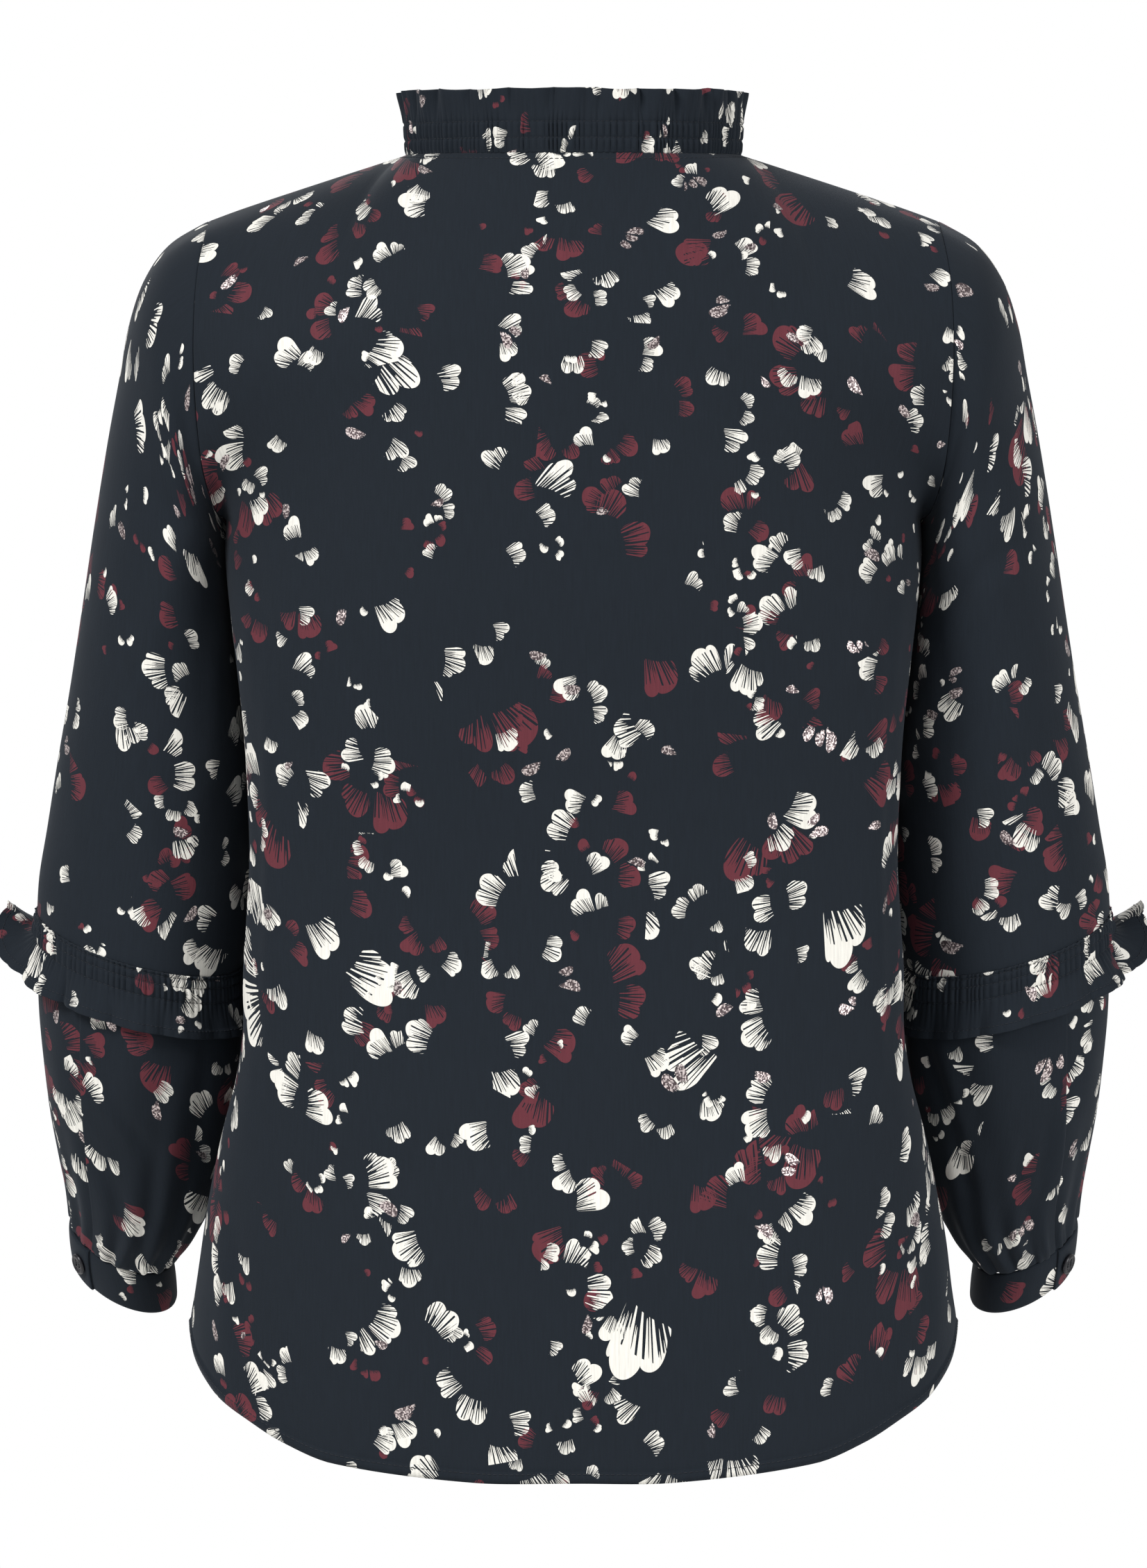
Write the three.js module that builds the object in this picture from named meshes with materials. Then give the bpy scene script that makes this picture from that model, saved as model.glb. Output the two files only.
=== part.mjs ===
import * as THREE from "three";

// A pull-over blouse in its worn shape: hollow, thin-walled, in millimetres with +Z up.
// The origin is the middle of the neckline seam at shoulder height. The front faces -Y, the
// wearer's left is +X.

const WALL = 1.5;
const SEAM_GAP = 0.34;
const LAYER_GAP = 0.35;

// How the panels are divided: columns over the neck and each shoulder, rows over the armhole.
const NECK_COLUMNS = 12;
const SHOULDER_COLUMNS = 6;
const NECK_SHARE = 0.6;
const ARMHOLE_ROWS = 10;
const BODY_ROWS = [0.035, 0.11, 0.22, 0.36, 0.5, 0.63, 0.75, 0.88, 1];

const NECK = { halfWidth: 96, back: 72, front: 88, height: 4, frontDrop: 54 };
const SHOULDER_TIP = [210, 0, -34];
const UNDERARM = [200, -6, -207];
const HEM_SIDE_Z = -672;
const SECTION_POWER = 2.4;

const COLLAR = { height: 36, lean: 0.06, gathers: 48, relief: 1.1, wave: 3.1, perWave: 4 };
const RUFFLE = { width: 35, strip: 14, gathers: 36, relief: 1.1, perWave: 6 };
const SLEEVE_COLUMNS = 2 * ARMHOLE_ROWS;
const CUFF = { lapEdge: 52, lapShare: 27, columns: 30, gathers: 16, bulge: 0.6 };
const BUTTON = { radius: 6.2, thickness: 2.4, holeRadius: 0.9, holeOffset: 1.7, turn: 39 };

const CLOTH_COLOUR = 0x1c252f;
const BUTTON_COLOUR = 0x15161c;

// Half the body's width and where its side seam, back and front run, level by level.
const BODY = [
  { z: -760, halfWidth: 220, side: 12, back: 134, front: -150 },
  { z: -700, halfWidth: 222, side: 14, back: 132, front: -150 },
  { z: -672, halfWidth: 221, side: 16, back: 130, front: -151 },
  { z: -646, halfWidth: 217, side: 18, back: 128, front: -152 },
  { z: -602, halfWidth: 210.5, side: 22, back: 124.5, front: -153 },
  { z: -580, halfWidth: 206.5, side: 25, back: 122, front: -153 },
  { z: -555, halfWidth: 201, side: 29, back: 120, front: -154 },
  { z: -528, halfWidth: 194, side: 33, back: 117, front: -154 },
  { z: -500, halfWidth: 190, side: 37, back: 114, front: -155 },
  { z: -470, halfWidth: 190, side: 39, back: 111, front: -156 },
  { z: -437, halfWidth: 188.2, side: 39, back: 109, front: -157 },
  { z: -402, halfWidth: 186.6, side: 39, back: 109, front: -159 },
  { z: -366, halfWidth: 187.5, side: 38, back: 111, front: -160 },
  { z: -330, halfWidth: 189.5, side: 36, back: 115, front: -161 },
  { z: -293, halfWidth: 193.5, side: 31, back: 118, front: -162 },
  { z: -260, halfWidth: 197.5, side: 20, back: 121, front: -161 },
  { z: -229, halfWidth: 200.6, side: 3, back: 122, front: -156 },
  { z: -207, halfWidth: 200.2, side: -6, back: 122, front: -150 },
];

// The curved shirt-tail hem of the back, from the middle out to the side seam.
const HEM = [
  { x: 0, z: -758 },
  { x: 58, z: -757.5 },
  { x: 138, z: -747 },
  { x: 167, z: -735 },
  { x: 186, z: -723 },
  { x: 202, z: -711 },
  { x: 211, z: -699 },
  { x: 217, z: -687 },
  { x: 221, z: HEM_SIDE_Z },
];
const FRONT_HEM_SHARE = 0.73;

// The shoulder seam from the neck point out to the sleeve.
const SHOULDER = [
  { x: 96, z: 4 },
  { x: 118, z: -3 },
  { x: 155, z: -15 },
  { x: 191, z: -27 },
  { x: 210, z: -34 },
];

// The armhole seam from the underarm up to the shoulder tip, on the back and on the front.
const ARMHOLE = {
  back: [
    UNDERARM,
    [206, 22, -201],
    [213, 47, -177],
    [217, 60, -138],
    [218, 61, -100],
    [216, 50, -66],
    [212, 28, -43],
    SHOULDER_TIP,
  ],
  front: [
    UNDERARM,
    [203, -34, -203],
    [203, -58, -180],
    [199, -70, -142],
    [198, -70, -104],
    [202, -58, -70],
    [207, -32, -44],
    SHOULDER_TIP,
  ],
};

// Rings of the upper sleeve: the outer and inner end of each, its middle in Y, half its depth
// and how far its back side dips, in degrees.
const UPPER_SLEEVE = [
  { outerX: 210, outerZ: -34, innerX: 200, innerZ: -207, y: -5, depth: 63, dip: 0 },
  { outerX: 233, outerZ: -48, innerX: 200.3, innerZ: -211, y: -9, depth: 65, dip: 1 },
  { outerX: 247.5, outerZ: -68, innerX: 200.5, innerZ: -216, y: -12, depth: 67, dip: 2 },
  { outerX: 256.5, outerZ: -94, innerX: 200.6, innerZ: -222, y: -15, depth: 68, dip: 3 },
  { outerX: 262, outerZ: -124, innerX: 200.3, innerZ: -230, y: -17, depth: 68, dip: 4 },
  { outerX: 269, outerZ: -162, innerX: 198.8, innerZ: -242, y: -18.5, depth: 67, dip: 6 },
  { outerX: 277, outerZ: -212, innerX: 196.3, innerZ: -262, y: -20, depth: 65, dip: 8 },
  { outerX: 285, outerZ: -266, innerX: 191.2, innerZ: -294, y: -21.5, depth: 63, dip: 10 },
  { outerX: 291.5, outerZ: -308, innerX: 186.6, innerZ: -331, y: -23, depth: 61.5, dip: 12 },
  { outerX: 298, outerZ: -346, innerX: 184.6, innerZ: -366, y: -25, depth: 60, dip: 14 },
  { outerX: 304, outerZ: -384, innerX: 184, innerZ: -401, y: -27, depth: 59, dip: 16 },
  { outerX: 308.5, outerZ: -411, innerX: 185.8, innerZ: -434, y: -28, depth: 58, dip: 17.5 },
  { outerX: 310, outerZ: -433, innerX: 190.7, innerZ: -463, y: -28.5, depth: 57, dip: 18.5 },
];
const ARMHOLE_PULL = [1, 0.78, 0.5, 0.27, 0.1];

// Rings of the lower sleeve, from under the elbow ruffle down to the cuff seam.
const LOWER_SLEEVE = [
  { outerX: 309.5, outerZ: -466, innerX: 190.7, innerZ: -500, y: -34, depth: 55, dip: 18.5 },
  { outerX: 309, outerZ: -490, innerX: 192.6, innerZ: -528, y: -39, depth: 54.5, dip: 19 },
  { outerX: 306.5, outerZ: -518, innerX: 198.2, innerZ: -555, y: -46, depth: 53, dip: 20 },
  { outerX: 303, outerZ: -546, innerX: 203.4, innerZ: -580, y: -54, depth: 50, dip: 21 },
  { outerX: 298, outerZ: -572, innerX: 210.3, innerZ: -602, y: -61, depth: 46, dip: 23 },
  { outerX: 293.5, outerZ: -592, innerX: 219, innerZ: -618, y: -67, depth: 42, dip: 25 },
  { outerX: 291.5, outerZ: -604, innerX: 227, innerZ: -627, y: -71.5, depth: 38, dip: 27.5 },
  { outerX: 291.5, outerZ: -611, innerX: 232.5, innerZ: -633, y: -74.5, depth: 35, dip: 30 },
];
const CUFF_BOTTOM_SHIFT = new THREE.Vector3(-2.5, -13.5, -23);
const ELBOW_AXIS = new THREE.Vector3(0, -0.17, -0.985).normalize();

const RAD = Math.PI / 180;

function vector(x, y, z) {
  return new THREE.Vector3(x, y, z);
}

// A smooth reading of one column of a table whose rows go by another column.
function read(table, by, at, column) {
  const rows = table[0][by] < table[table.length - 1][by] ? table : [...table].reverse();
  const last = rows.length - 1;
  const place = THREE.MathUtils.clamp(at, rows[0][by], rows[last][by]);
  let k = 0;
  while (k < last - 1 && rows[k + 1][by] < place) k += 1;
  const slope = (i) => {
    const a = rows[Math.max(i - 1, 0)];
    const b = rows[Math.min(i + 1, last)];
    return (b[column] - a[column]) / (b[by] - a[by]);
  };
  const step = rows[k + 1][by] - rows[k][by];
  const u = (place - rows[k][by]) / step;
  const rise = rows[k + 1][column] - rows[k][column];
  const lead = slope(k) * step;
  const tail = slope(k + 1) * step;
  return (
    rows[k][column] +
    lead * u +
    (3 * rise - 2 * lead - tail) * u * u +
    (lead + tail - 2 * rise) * u * u * u
  );
}

function hermite(start, leave, end, arrive, u) {
  const u2 = u * u;
  const u3 = u2 * u;
  return start
    .clone()
    .multiplyScalar(2 * u3 - 3 * u2 + 1)
    .addScaledVector(leave, u3 - 2 * u2 + u)
    .addScaledVector(end, 3 * u2 - 2 * u3)
    .addScaledVector(arrive, u3 - u2);
}

// The body below the underarm. The turn runs from -90 at one side seam to 90 at the other.
function bodyPoint(face, turn, z) {
  const halfWidth = read(BODY, "z", z, "halfWidth");
  const side = read(BODY, "z", z, "side");
  const depth = read(BODY, "z", z, face) - side;
  const across = Math.sin(turn * RAD);
  const along = Math.cos(turn * RAD);
  const sum = Math.abs(across) ** SECTION_POWER + Math.abs(along) ** SECTION_POWER;
  const reach = sum ** (-1 / SECTION_POWER);
  return vector(halfWidth * reach * across, side + depth * reach * along, z);
}

function hemZ(face, turn) {
  const x = Math.abs(bodyPoint(face, turn, HEM_SIDE_Z).x);
  const z = read(HEM, "x", x, "z");
  return face === "back" ? z : HEM_SIDE_Z + (z - HEM_SIDE_Z) * FRONT_HEM_SHARE;
}

// The neckline seam: 0 is the middle of the back, 90 the left neck point, 180 the front.
function neckPoint(angle) {
  const s = Math.sin(angle * RAD);
  const c = Math.cos(angle * RAD);
  const front = c < 0;
  const y = c * (front ? NECK.front : NECK.back);
  return vector(NECK.halfWidth * s, y, NECK.height - (front ? NECK.frontDrop * c * c : 0));
}

// The top edge of a panel: the neckline in the middle, a shoulder seam on each side.
function topEdge(face, t) {
  const share = Math.abs(t);
  if (share <= NECK_SHARE) {
    const angle = (90 * t) / NECK_SHARE;
    return neckPoint(face === "back" ? angle : 180 - angle);
  }
  const u = (share - NECK_SHARE) / (1 - NECK_SHARE);
  const x = THREE.MathUtils.lerp(NECK.halfWidth, SHOULDER_TIP[0], u);
  return vector(Math.sign(t) * x, 0, read(SHOULDER, "x", x, "z"));
}

// Which way the cloth is heading where it reaches the top edge: in towards the neck, or
// level over the shoulder.
function topHeading(face, t) {
  const share = Math.abs(t);
  const sine = Math.sin(90 * RAD * Math.min(1, share / NECK_SHARE));
  const atNeck = vector(0.55 * sine, 0.45 + 0.4 * sine * sine, 0.9 - 0.6 * sine * sine);
  const u = Math.max(0, share - NECK_SHARE) / (1 - NECK_SHARE);
  const heading = atNeck.lerp(vector(0, 1, 0.36), u);
  heading.x *= -Math.sign(t);
  if (face === "back") heading.y *= -1;
  return heading.normalize();
}

const armholes = { back: [], front: [] };
for (const face of ["back", "front"]) {
  const knots = ARMHOLE[face].map((p) => vector(...p));
  const seam = new THREE.CatmullRomCurve3(knots, false, "centripetal");
  armholes[face] = seam.getSpacedPoints(ARMHOLE_ROWS);
}

// The row across the shoulder blades or the chest, halfway up the armhole.
const CHEST_ROW = { back: { y: 116, z: -106, bow: 58 }, front: { y: -124, z: -118, bow: 60 } };

function chestPoint(face, t) {
  const edge = armholes[face][ARMHOLE_ROWS / 2];
  const middle = CHEST_ROW[face];
  const bow = middle.bow * RAD;
  const x = (edge.x * Math.sin(bow * t)) / Math.sin(bow);
  const fall = (1 - Math.cos(bow * t)) / (1 - Math.cos(bow));
  const y = middle.y + (edge.y - middle.y) * fall;
  return vector(x, y, middle.z + (edge.z - middle.z) * t * t);
}

// The body above the underarm: s is 0 at underarm height and 1 at the top edge.
function upperBodyPoint(face, t, s) {
  const turn = 90 * t;
  const low = bodyPoint(face, turn, UNDERARM[2]);
  const middle = chestPoint(face, t);
  const top = topEdge(face, t);
  const leave = low.clone().sub(bodyPoint(face, turn, UNDERARM[2] - 5)).normalize();
  const lean = face === "back" ? -0.12 : 0.3;
  const pass = vector(0, lean, 1).multiplyScalar(0.5 * (top.z - low.z));
  if (s <= 0.5) {
    leave.multiplyScalar(middle.distanceTo(low));
    return hermite(low, leave, middle, pass, s * 2);
  }
  const arrive = topHeading(face, t).multiplyScalar(middle.distanceTo(top));
  return hermite(middle, pass, top, arrive, s * 2 - 1);
}

const EDGE_HOLD = 6;

function panelColumns() {
  const half = [];
  for (let k = 0; k <= NECK_COLUMNS / 2; k += 1) half.push((2 * NECK_SHARE * k) / NECK_COLUMNS);
  for (let k = 1; k <= SHOULDER_COLUMNS; k += 1) {
    half.push(NECK_SHARE + ((1 - NECK_SHARE) * k) / SHOULDER_COLUMNS);
  }
  return [...half.slice(1).reverse().map((t) => -t), ...half];
}

// A soft upright fold where the body turns to the side under each arm.
const SIDE_FOLD = { turn: 63, spread: 7, height: 2.2, top: -225, bottom: -600 };

function sideFold(turn, z) {
  const off = (Math.abs(turn) - SIDE_FOLD.turn) / SIDE_FOLD.spread;
  const rise = THREE.MathUtils.smoothstep(z, SIDE_FOLD.bottom, SIDE_FOLD.bottom + 140);
  const fall = 1 - THREE.MathUtils.smoothstep(z, SIDE_FOLD.top - 60, SIDE_FOLD.top);
  return SIDE_FOLD.height * Math.exp(-off * off) * rise * fall;
}

function panelGrid(face) {
  const columns = panelColumns();
  const grid = [];
  for (let i = ARMHOLE_ROWS; i >= 0; i -= 1) {
    const s = i / ARMHOLE_ROWS;
    const seam = armholes[face][i];
    grid.push(
      columns.map((t) => {
        const p = upperBodyPoint(face, t, s);
        const pull = seam.clone().sub(upperBodyPoint(face, 1, s));
        pull.x *= Math.sign(t);
        return p.addScaledVector(pull, Math.abs(t) ** EDGE_HOLD);
      }),
    );
  }
  for (const share of BODY_ROWS) {
    grid.push(
      columns.map((t) => {
        const turn = 90 * t;
        const z = THREE.MathUtils.lerp(UNDERARM[2], hemZ(face, turn), share);
        const p = bodyPoint(face, turn, z);
        const out = vector(p.x, p.y, 0).normalize();
        return p.addScaledVector(out, sideFold(turn, z));
      }),
    );
  }
  return grid;
}

// A ring of a sleeve: 0 is its outer end, 90 its back, 180 next to the body, 270 its front.
function ringPoint(ring, angle) {
  const c = Math.cos(angle * RAD);
  const s = Math.sin(angle * RAD);
  const x = (ring.outerX + ring.innerX) / 2 + (c * (ring.outerX - ring.innerX)) / 2;
  const z = (ring.outerZ + ring.innerZ) / 2 + (c * (ring.outerZ - ring.innerZ)) / 2;
  const back = ring.depth * s;
  const dip = ring.dip * RAD;
  return vector(x, ring.y + back * Math.cos(dip), z - back * Math.sin(dip));
}

// The way down the sleeve, square to a ring.
function ringDown(ring) {
  const across = ringPoint(ring, 0).sub(ringPoint(ring, 180));
  const back = ringPoint(ring, 90).sub(ringPoint(ring, 270));
  return back.cross(across).normalize();
}

// The way out of a ring, square to a given way down; by default this is in the ring's plane.
function ringOut(ring, angle, down = ringDown(ring)) {
  const along = ringPoint(ring, angle + 0.5).sub(ringPoint(ring, angle - 0.5));
  return along.cross(down).negate().normalize();
}

// Soft folds that run down and outward from the armpit: ring number and angle of each end.
const SLEEVE_FOLDS = [
  { fromRing: 2.5, fromAngle: 148, toRing: 8, toAngle: 62, height: 2.6, spread: 13 },
  { fromRing: 4, fromAngle: 158, toRing: 10, toAngle: 112, height: 2.2, spread: 12 },
  { fromRing: 2.5, fromAngle: 214, toRing: 8, toAngle: 296, height: 2.4, spread: 13 },
  { fromRing: 4, fromAngle: 204, toRing: 10.5, toAngle: 250, height: 2, spread: 12 },
];

function sleeveFold(ring, angle) {
  let height = 0;
  for (const fold of SLEEVE_FOLDS) {
    const u = (ring - fold.fromRing) / (fold.toRing - fold.fromRing);
    if (u <= 0 || u >= 1) continue;
    const off = (angle - THREE.MathUtils.lerp(fold.fromAngle, fold.toAngle, u)) / fold.spread;
    height += fold.height * Math.sin(Math.PI * u) * Math.exp(-off * off);
  }
  return height;
}

// The armhole seam in the order of a sleeve ring, from the shoulder tip over the back.
function armholeRing() {
  const back = armholes.back.slice().reverse();
  const front = armholes.front.slice(1, -1);
  return [...back, ...front];
}

function upperSleeveGrid() {
  const seam = armholeRing();
  const first = UPPER_SLEEVE[0];
  return UPPER_SLEEVE.map((ring, k) =>
    seam.map((held, j) => {
      const angle = (360 * j) / SLEEVE_COLUMNS;
      const p = ringPoint(ring, angle);
      p.addScaledVector(held.clone().sub(ringPoint(first, angle)), ARMHOLE_PULL[k] ?? 0);
      return p.addScaledVector(ringOut(ring, angle), k ? sleeveFold(k, angle) : 0);
    }),
  );
}

// Uneven folds: the phase and height wander a little round the edge.
function wander(angle, seed) {
  const a = angle * RAD;
  return 0.5 * Math.sin(3 * a + seed) + 0.3 * Math.sin(7 * a + 2.1 * seed);
}

const ELBOW = UPPER_SLEEVE[UPPER_SLEEVE.length - 1];
const TUCK = WALL + LAYER_GAP;

// How the ruffle leans out of the sleeve, in degrees, strip first and then frill: most at
// the outer side, least next to the body, and turned up in one lobe at the outer front.
const LOBE = { angle: -22, spread: 17, strip: 22, frill: 88 };

function frillStand(angle) {
  return 4.3 + 8.4 * Math.max(0, Math.cos((angle + 18) * RAD)) ** 1.4;
}

function ruffleLean(angle) {
  const turn = angle > 180 ? angle - 360 : angle;
  const lobe = Math.exp(-(((turn - LOBE.angle) / LOBE.spread) ** 2));
  const frill = Math.asin(frillStand(angle) / (RUFFLE.width - RUFFLE.strip)) / RAD;
  return { strip: 2 + LOBE.strip * lobe, frill: frill + LOBE.frill * lobe };
}

function rufflePoint(angle, along, column, seed, relief) {
  const out = ringOut(ELBOW, angle, ELBOW_AXIS);
  const frill = Math.max(0, along - RUFFLE.strip);
  const strip = along - frill;
  const share = frill / (RUFFLE.width - RUFFLE.strip);
  const height = Math.min(3.1, 0.42 * frillStand(angle)) * (1 + 0.35 * wander(angle, seed));
  const wave = height * share * Math.cos((column * 2 * Math.PI) / RUFFLE.perWave);
  const slip = 1.6 * share * wander(angle, seed + 1);
  const lean = ruffleLean(angle);
  const down = strip * Math.cos(lean.strip * RAD) + frill * Math.cos(lean.frill * RAD);
  const away = strip * Math.sin(lean.strip * RAD) + frill * Math.sin(lean.frill * RAD);
  const p = ringPoint(ELBOW, angle + slip).addScaledVector(ELBOW_AXIS, down);
  return p.addScaledVector(out, away + wave + relief);
}

// The lap fold that runs from the ruffle down to the opening of the cuff.
const LAP = { angle: 55, rise: 2.2, drop: 1.8, spread: 9 };

function lapFold(angle) {
  const high = (angle - LAP.angle - LAP.spread) / LAP.spread;
  const low = (angle - LAP.angle + LAP.spread) / LAP.spread;
  return LAP.rise * Math.exp(-high * high) - LAP.drop * Math.exp(-low * low);
}

// How far below the elbow seam the rows under the ruffle lie, and how deep the gathers into
// the cuff are, ring by ring.
const TUCKED_ROWS = [SEAM_GAP, 9, 18];
const CUFF_GATHERS = [0, 0, 0, 0.5, 1.2, 1.9, 2, 1];

function lowerSleeveGrid() {
  const columns = CUFF.gathers * 2;
  const grid = TUCKED_ROWS.map(() => []);
  for (let j = 0; j < columns; j += 1) {
    const angle = (360 * j) / columns;
    const top = ringPoint(ELBOW, angle).addScaledVector(ringOut(ELBOW, angle), -TUCK * 1.1);
    TUCKED_ROWS.forEach((down, k) => grid[k].push(top.clone().addScaledVector(ELBOW_AXIS, down)));
  }
  LOWER_SLEEVE.forEach((ring, k) => {
    const row = [];
    const ends = k === LOWER_SLEEVE.length - 1;
    for (let j = 0; j < columns; j += 1) {
      const angle = (360 * j) / columns;
      const gather = CUFF_GATHERS[k] * (j % 2 ? -1 : 1) * (1 + 0.4 * wander(angle, 2));
      const fold = lapFold(angle) * Math.min(1, (k + 1) / 3) * (ends ? 0.3 : 1);
      row.push(ringPoint(ring, angle).addScaledVector(ringOut(ring, angle), gather + fold));
    }
    grid.push(row);
  });
  return grid;
}

const CUFF_RING = LOWER_SLEEVE[LOWER_SLEEVE.length - 1];

// How far the cuff's outer layer stands off the layer under it, along the strip.
function cuffStep(angle) {
  const lap = CUFF.lapEdge - CUFF.lapShare;
  return (WALL + LAYER_GAP) * THREE.MathUtils.smoothstep(angle, lap - 50, lap - 4);
}

function cuffGrid() {
  const grid = [];
  for (const share of [0, 0.5, 1]) {
    const row = [];
    for (let j = 0; j <= CUFF.columns; j += 1) {
      const angle = CUFF.lapEdge - ((360 + CUFF.lapShare) * j) / CUFF.columns;
      const out = ringOut(CUFF_RING, angle, CUFF_BOTTOM_SHIFT);
      const rise = cuffStep(angle) + CUFF.bulge * Math.sin(Math.PI * share);
      const p = ringPoint(CUFF_RING, angle).addScaledVector(CUFF_BOTTOM_SHIFT, share);
      row.push(p.addScaledVector(out, rise));
    }
    grid.push(row);
  }
  return grid;
}

// The unit normals of a grid, outward where `out` is 1 and the grid is read left to right
// and top to bottom from outside.
function gridNormals(grid, around, out) {
  const rows = grid.length;
  const columns = grid[0].length;
  const normals = grid.map((row) => row.map(() => vector(0, 0, 0)));
  const quads = around ? columns : columns - 1;
  for (let i = 0; i < rows - 1; i += 1) {
    for (let j = 0; j < quads; j += 1) {
      const next = (j + 1) % columns;
      const across = grid[i + 1][next].clone().sub(grid[i][j]);
      const other = grid[i][next].clone().sub(grid[i + 1][j]);
      const n = across.cross(other).normalize().multiplyScalar(out);
      for (const [a, b] of [[i, j], [i, next], [i + 1, j], [i + 1, next]]) normals[a][b].add(n);
    }
  }
  return normals.map((row) => row.map((n) => n.normalize()));
}

function keyOf(p) {
  return [p.x, p.y, p.z].map((value) => Math.round(value * 50)).join(",");
}

// Where pieces share a seam, their walls take one common direction, so that the cut edges
// lie face to face. Panels of one group count once.
const shared = new Map();

function share(group, grid, normals) {
  grid.forEach((row, i) => {
    row.forEach((p, j) => {
      const key = keyOf(p);
      if (!shared.has(key)) shared.set(key, new Map());
      const groups = shared.get(key);
      if (!groups.has(group)) groups.set(group, vector(0, 0, 0));
      groups.get(group).add(normals[i][j]);
    });
  });
}

function sharedNormal(p) {
  const sum = vector(0, 0, 0);
  for (const n of shared.get(keyOf(p)).values()) sum.add(n.clone().normalize());
  return sum.normalize();
}

const LONGEST_MITRE = 2.1;

// The inner face: each outer point moved in by the wall, square to the piece itself.
function innerGrid(grid, normals, planes = {}) {
  return grid.map((row, i) =>
    row.map((p, j) => {
      const way = sharedNormal(p);
      const plane = planes[i];
      if (plane) way.addScaledVector(plane, -way.dot(plane)).normalize();
      const stretch = Math.min(LONGEST_MITRE, 1 / Math.max(0.1, way.dot(normals[i][j])));
      return p.clone().addScaledVector(way, -WALL * stretch);
    }),
  );
}

// Draws an edge row or column back from its seam by half the gap, in both faces.
function drawBack(outer, inner, list) {
  const moves = list.map(([i, j, di, dj, around]) => {
    const columns = outer[0].length;
    const at = (a, b) => {
      const row = THREE.MathUtils.clamp(a, 0, outer.length - 1);
      const column = around ? (b + columns) % columns : THREE.MathUtils.clamp(b, 0, columns - 1);
      return outer[row][column];
    };
    const edge = di ? at(i, j + 1).clone().sub(at(i, j - 1)) : at(i + 1, j).clone().sub(at(i - 1, j));
    edge.normalize();
    const into = at(i + di, j + dj).clone().sub(outer[i][j]);
    into.addScaledVector(edge, -into.dot(edge)).normalize();
    return [i, j, into.multiplyScalar(SEAM_GAP / 2)];
  });
  for (const [i, j, move] of moves) {
    outer[i][j].add(move);
    inner[i][j].add(move);
  }
}

// Closes an outer and an inner face into one solid. The faces have the same columns; their
// rows may differ where the sides are joined round.
function solid(outer, inner, around, out) {
  const positions = [];
  const columns = outer[0].length;
  const quads = around ? columns : columns - 1;
  const triangle = (a, b, c) => {
    const order = out > 0 ? [a, b, c] : [a, c, b];
    for (const p of order) positions.push(p.x, p.y, p.z);
  };
  const quad = (a, b, c, d) => {
    if (a.distanceToSquared(c) < b.distanceToSquared(d)) {
      triangle(a, b, c);
      triangle(a, c, d);
    } else {
      triangle(a, b, d);
      triangle(b, c, d);
    }
  };
  for (let i = 0; i < outer.length - 1; i += 1) {
    for (let j = 0; j < quads; j += 1) {
      const next = (j + 1) % columns;
      quad(outer[i][j], outer[i + 1][j], outer[i + 1][next], outer[i][next]);
    }
  }
  for (let i = 0; i < inner.length - 1; i += 1) {
    for (let j = 0; j < quads; j += 1) {
      const next = (j + 1) % columns;
      quad(inner[i][next], inner[i + 1][next], inner[i + 1][j], inner[i][j]);
    }
  }
  const lastOuter = outer[outer.length - 1];
  const lastInner = inner[inner.length - 1];
  for (let j = 0; j < quads; j += 1) {
    const next = (j + 1) % columns;
    quad(outer[0][j], outer[0][next], inner[0][next], inner[0][j]);
    quad(lastOuter[next], lastOuter[j], lastInner[j], lastInner[next]);
  }
  if (!around) {
    const end = columns - 1;
    for (let i = 0; i < outer.length - 1; i += 1) {
      quad(outer[i + 1][0], outer[i][0], inner[i][0], inner[i + 1][0]);
      quad(outer[i][end], outer[i + 1][end], inner[i + 1][end], inner[i][end]);
    }
  }
  const geometry = new THREE.BufferGeometry();
  geometry.setAttribute("position", new THREE.Float32BufferAttribute(positions, 3));
  geometry.computeVertexNormals();
  return geometry;
}

function circle(x, y, radius, points) {
  return Array.from({ length: points }, (_, k) => {
    const a = (2 * Math.PI * k) / points;
    return new THREE.Vector2(x + radius * Math.cos(a), y + radius * Math.sin(a));
  });
}

function mirrored(grid) {
  return grid.map((row) => row.map((p) => vector(-p.x, p.y, p.z)));
}

function edgeRow(i, di, columns, around) {
  return Array.from({ length: columns }, (_, j) => [i, j, di, 0, around]);
}

const blouse = new THREE.Group();
blouse.name = "blouse";

function add(name, geometry, colour = CLOTH_COLOUR, roughness = 0.9) {
  const material = new THREE.MeshStandardMaterial({ color: colour, roughness, metalness: 0 });
  const mesh = new THREE.Mesh(geometry, material);
  mesh.name = name;
  blouse.add(mesh);
}

// The grids of all pieces that share seams, before their edges are drawn back.
const back = { grid: panelGrid("back"), out: -1 };
const front = { grid: panelGrid("front"), out: 1 };
const sleeveLeft = { grid: upperSleeveGrid(), out: 1 };
const sleeveRight = { grid: mirrored(sleeveLeft.grid), out: -1 };
for (const panel of [back, front]) {
  panel.normals = gridNormals(panel.grid, false, panel.out);
  share("body", panel.grid, panel.normals);
}
for (const sleeve of [sleeveLeft, sleeveRight]) {
  sleeve.normals = gridNormals(sleeve.grid, true, sleeve.out);
  share("sleeve", sleeve.grid, sleeve.normals);
}

// The collar stands on the neckline: its way up and way out at an angle round the neck.
function collarFrame(angle) {
  const along = neckPoint(angle + 0.5).sub(neckPoint(angle - 0.5)).normalize();
  const up = vector(0, 0, 1).addScaledVector(along, -along.z).normalize();
  return { up, out: up.clone().cross(along) };
}

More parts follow.
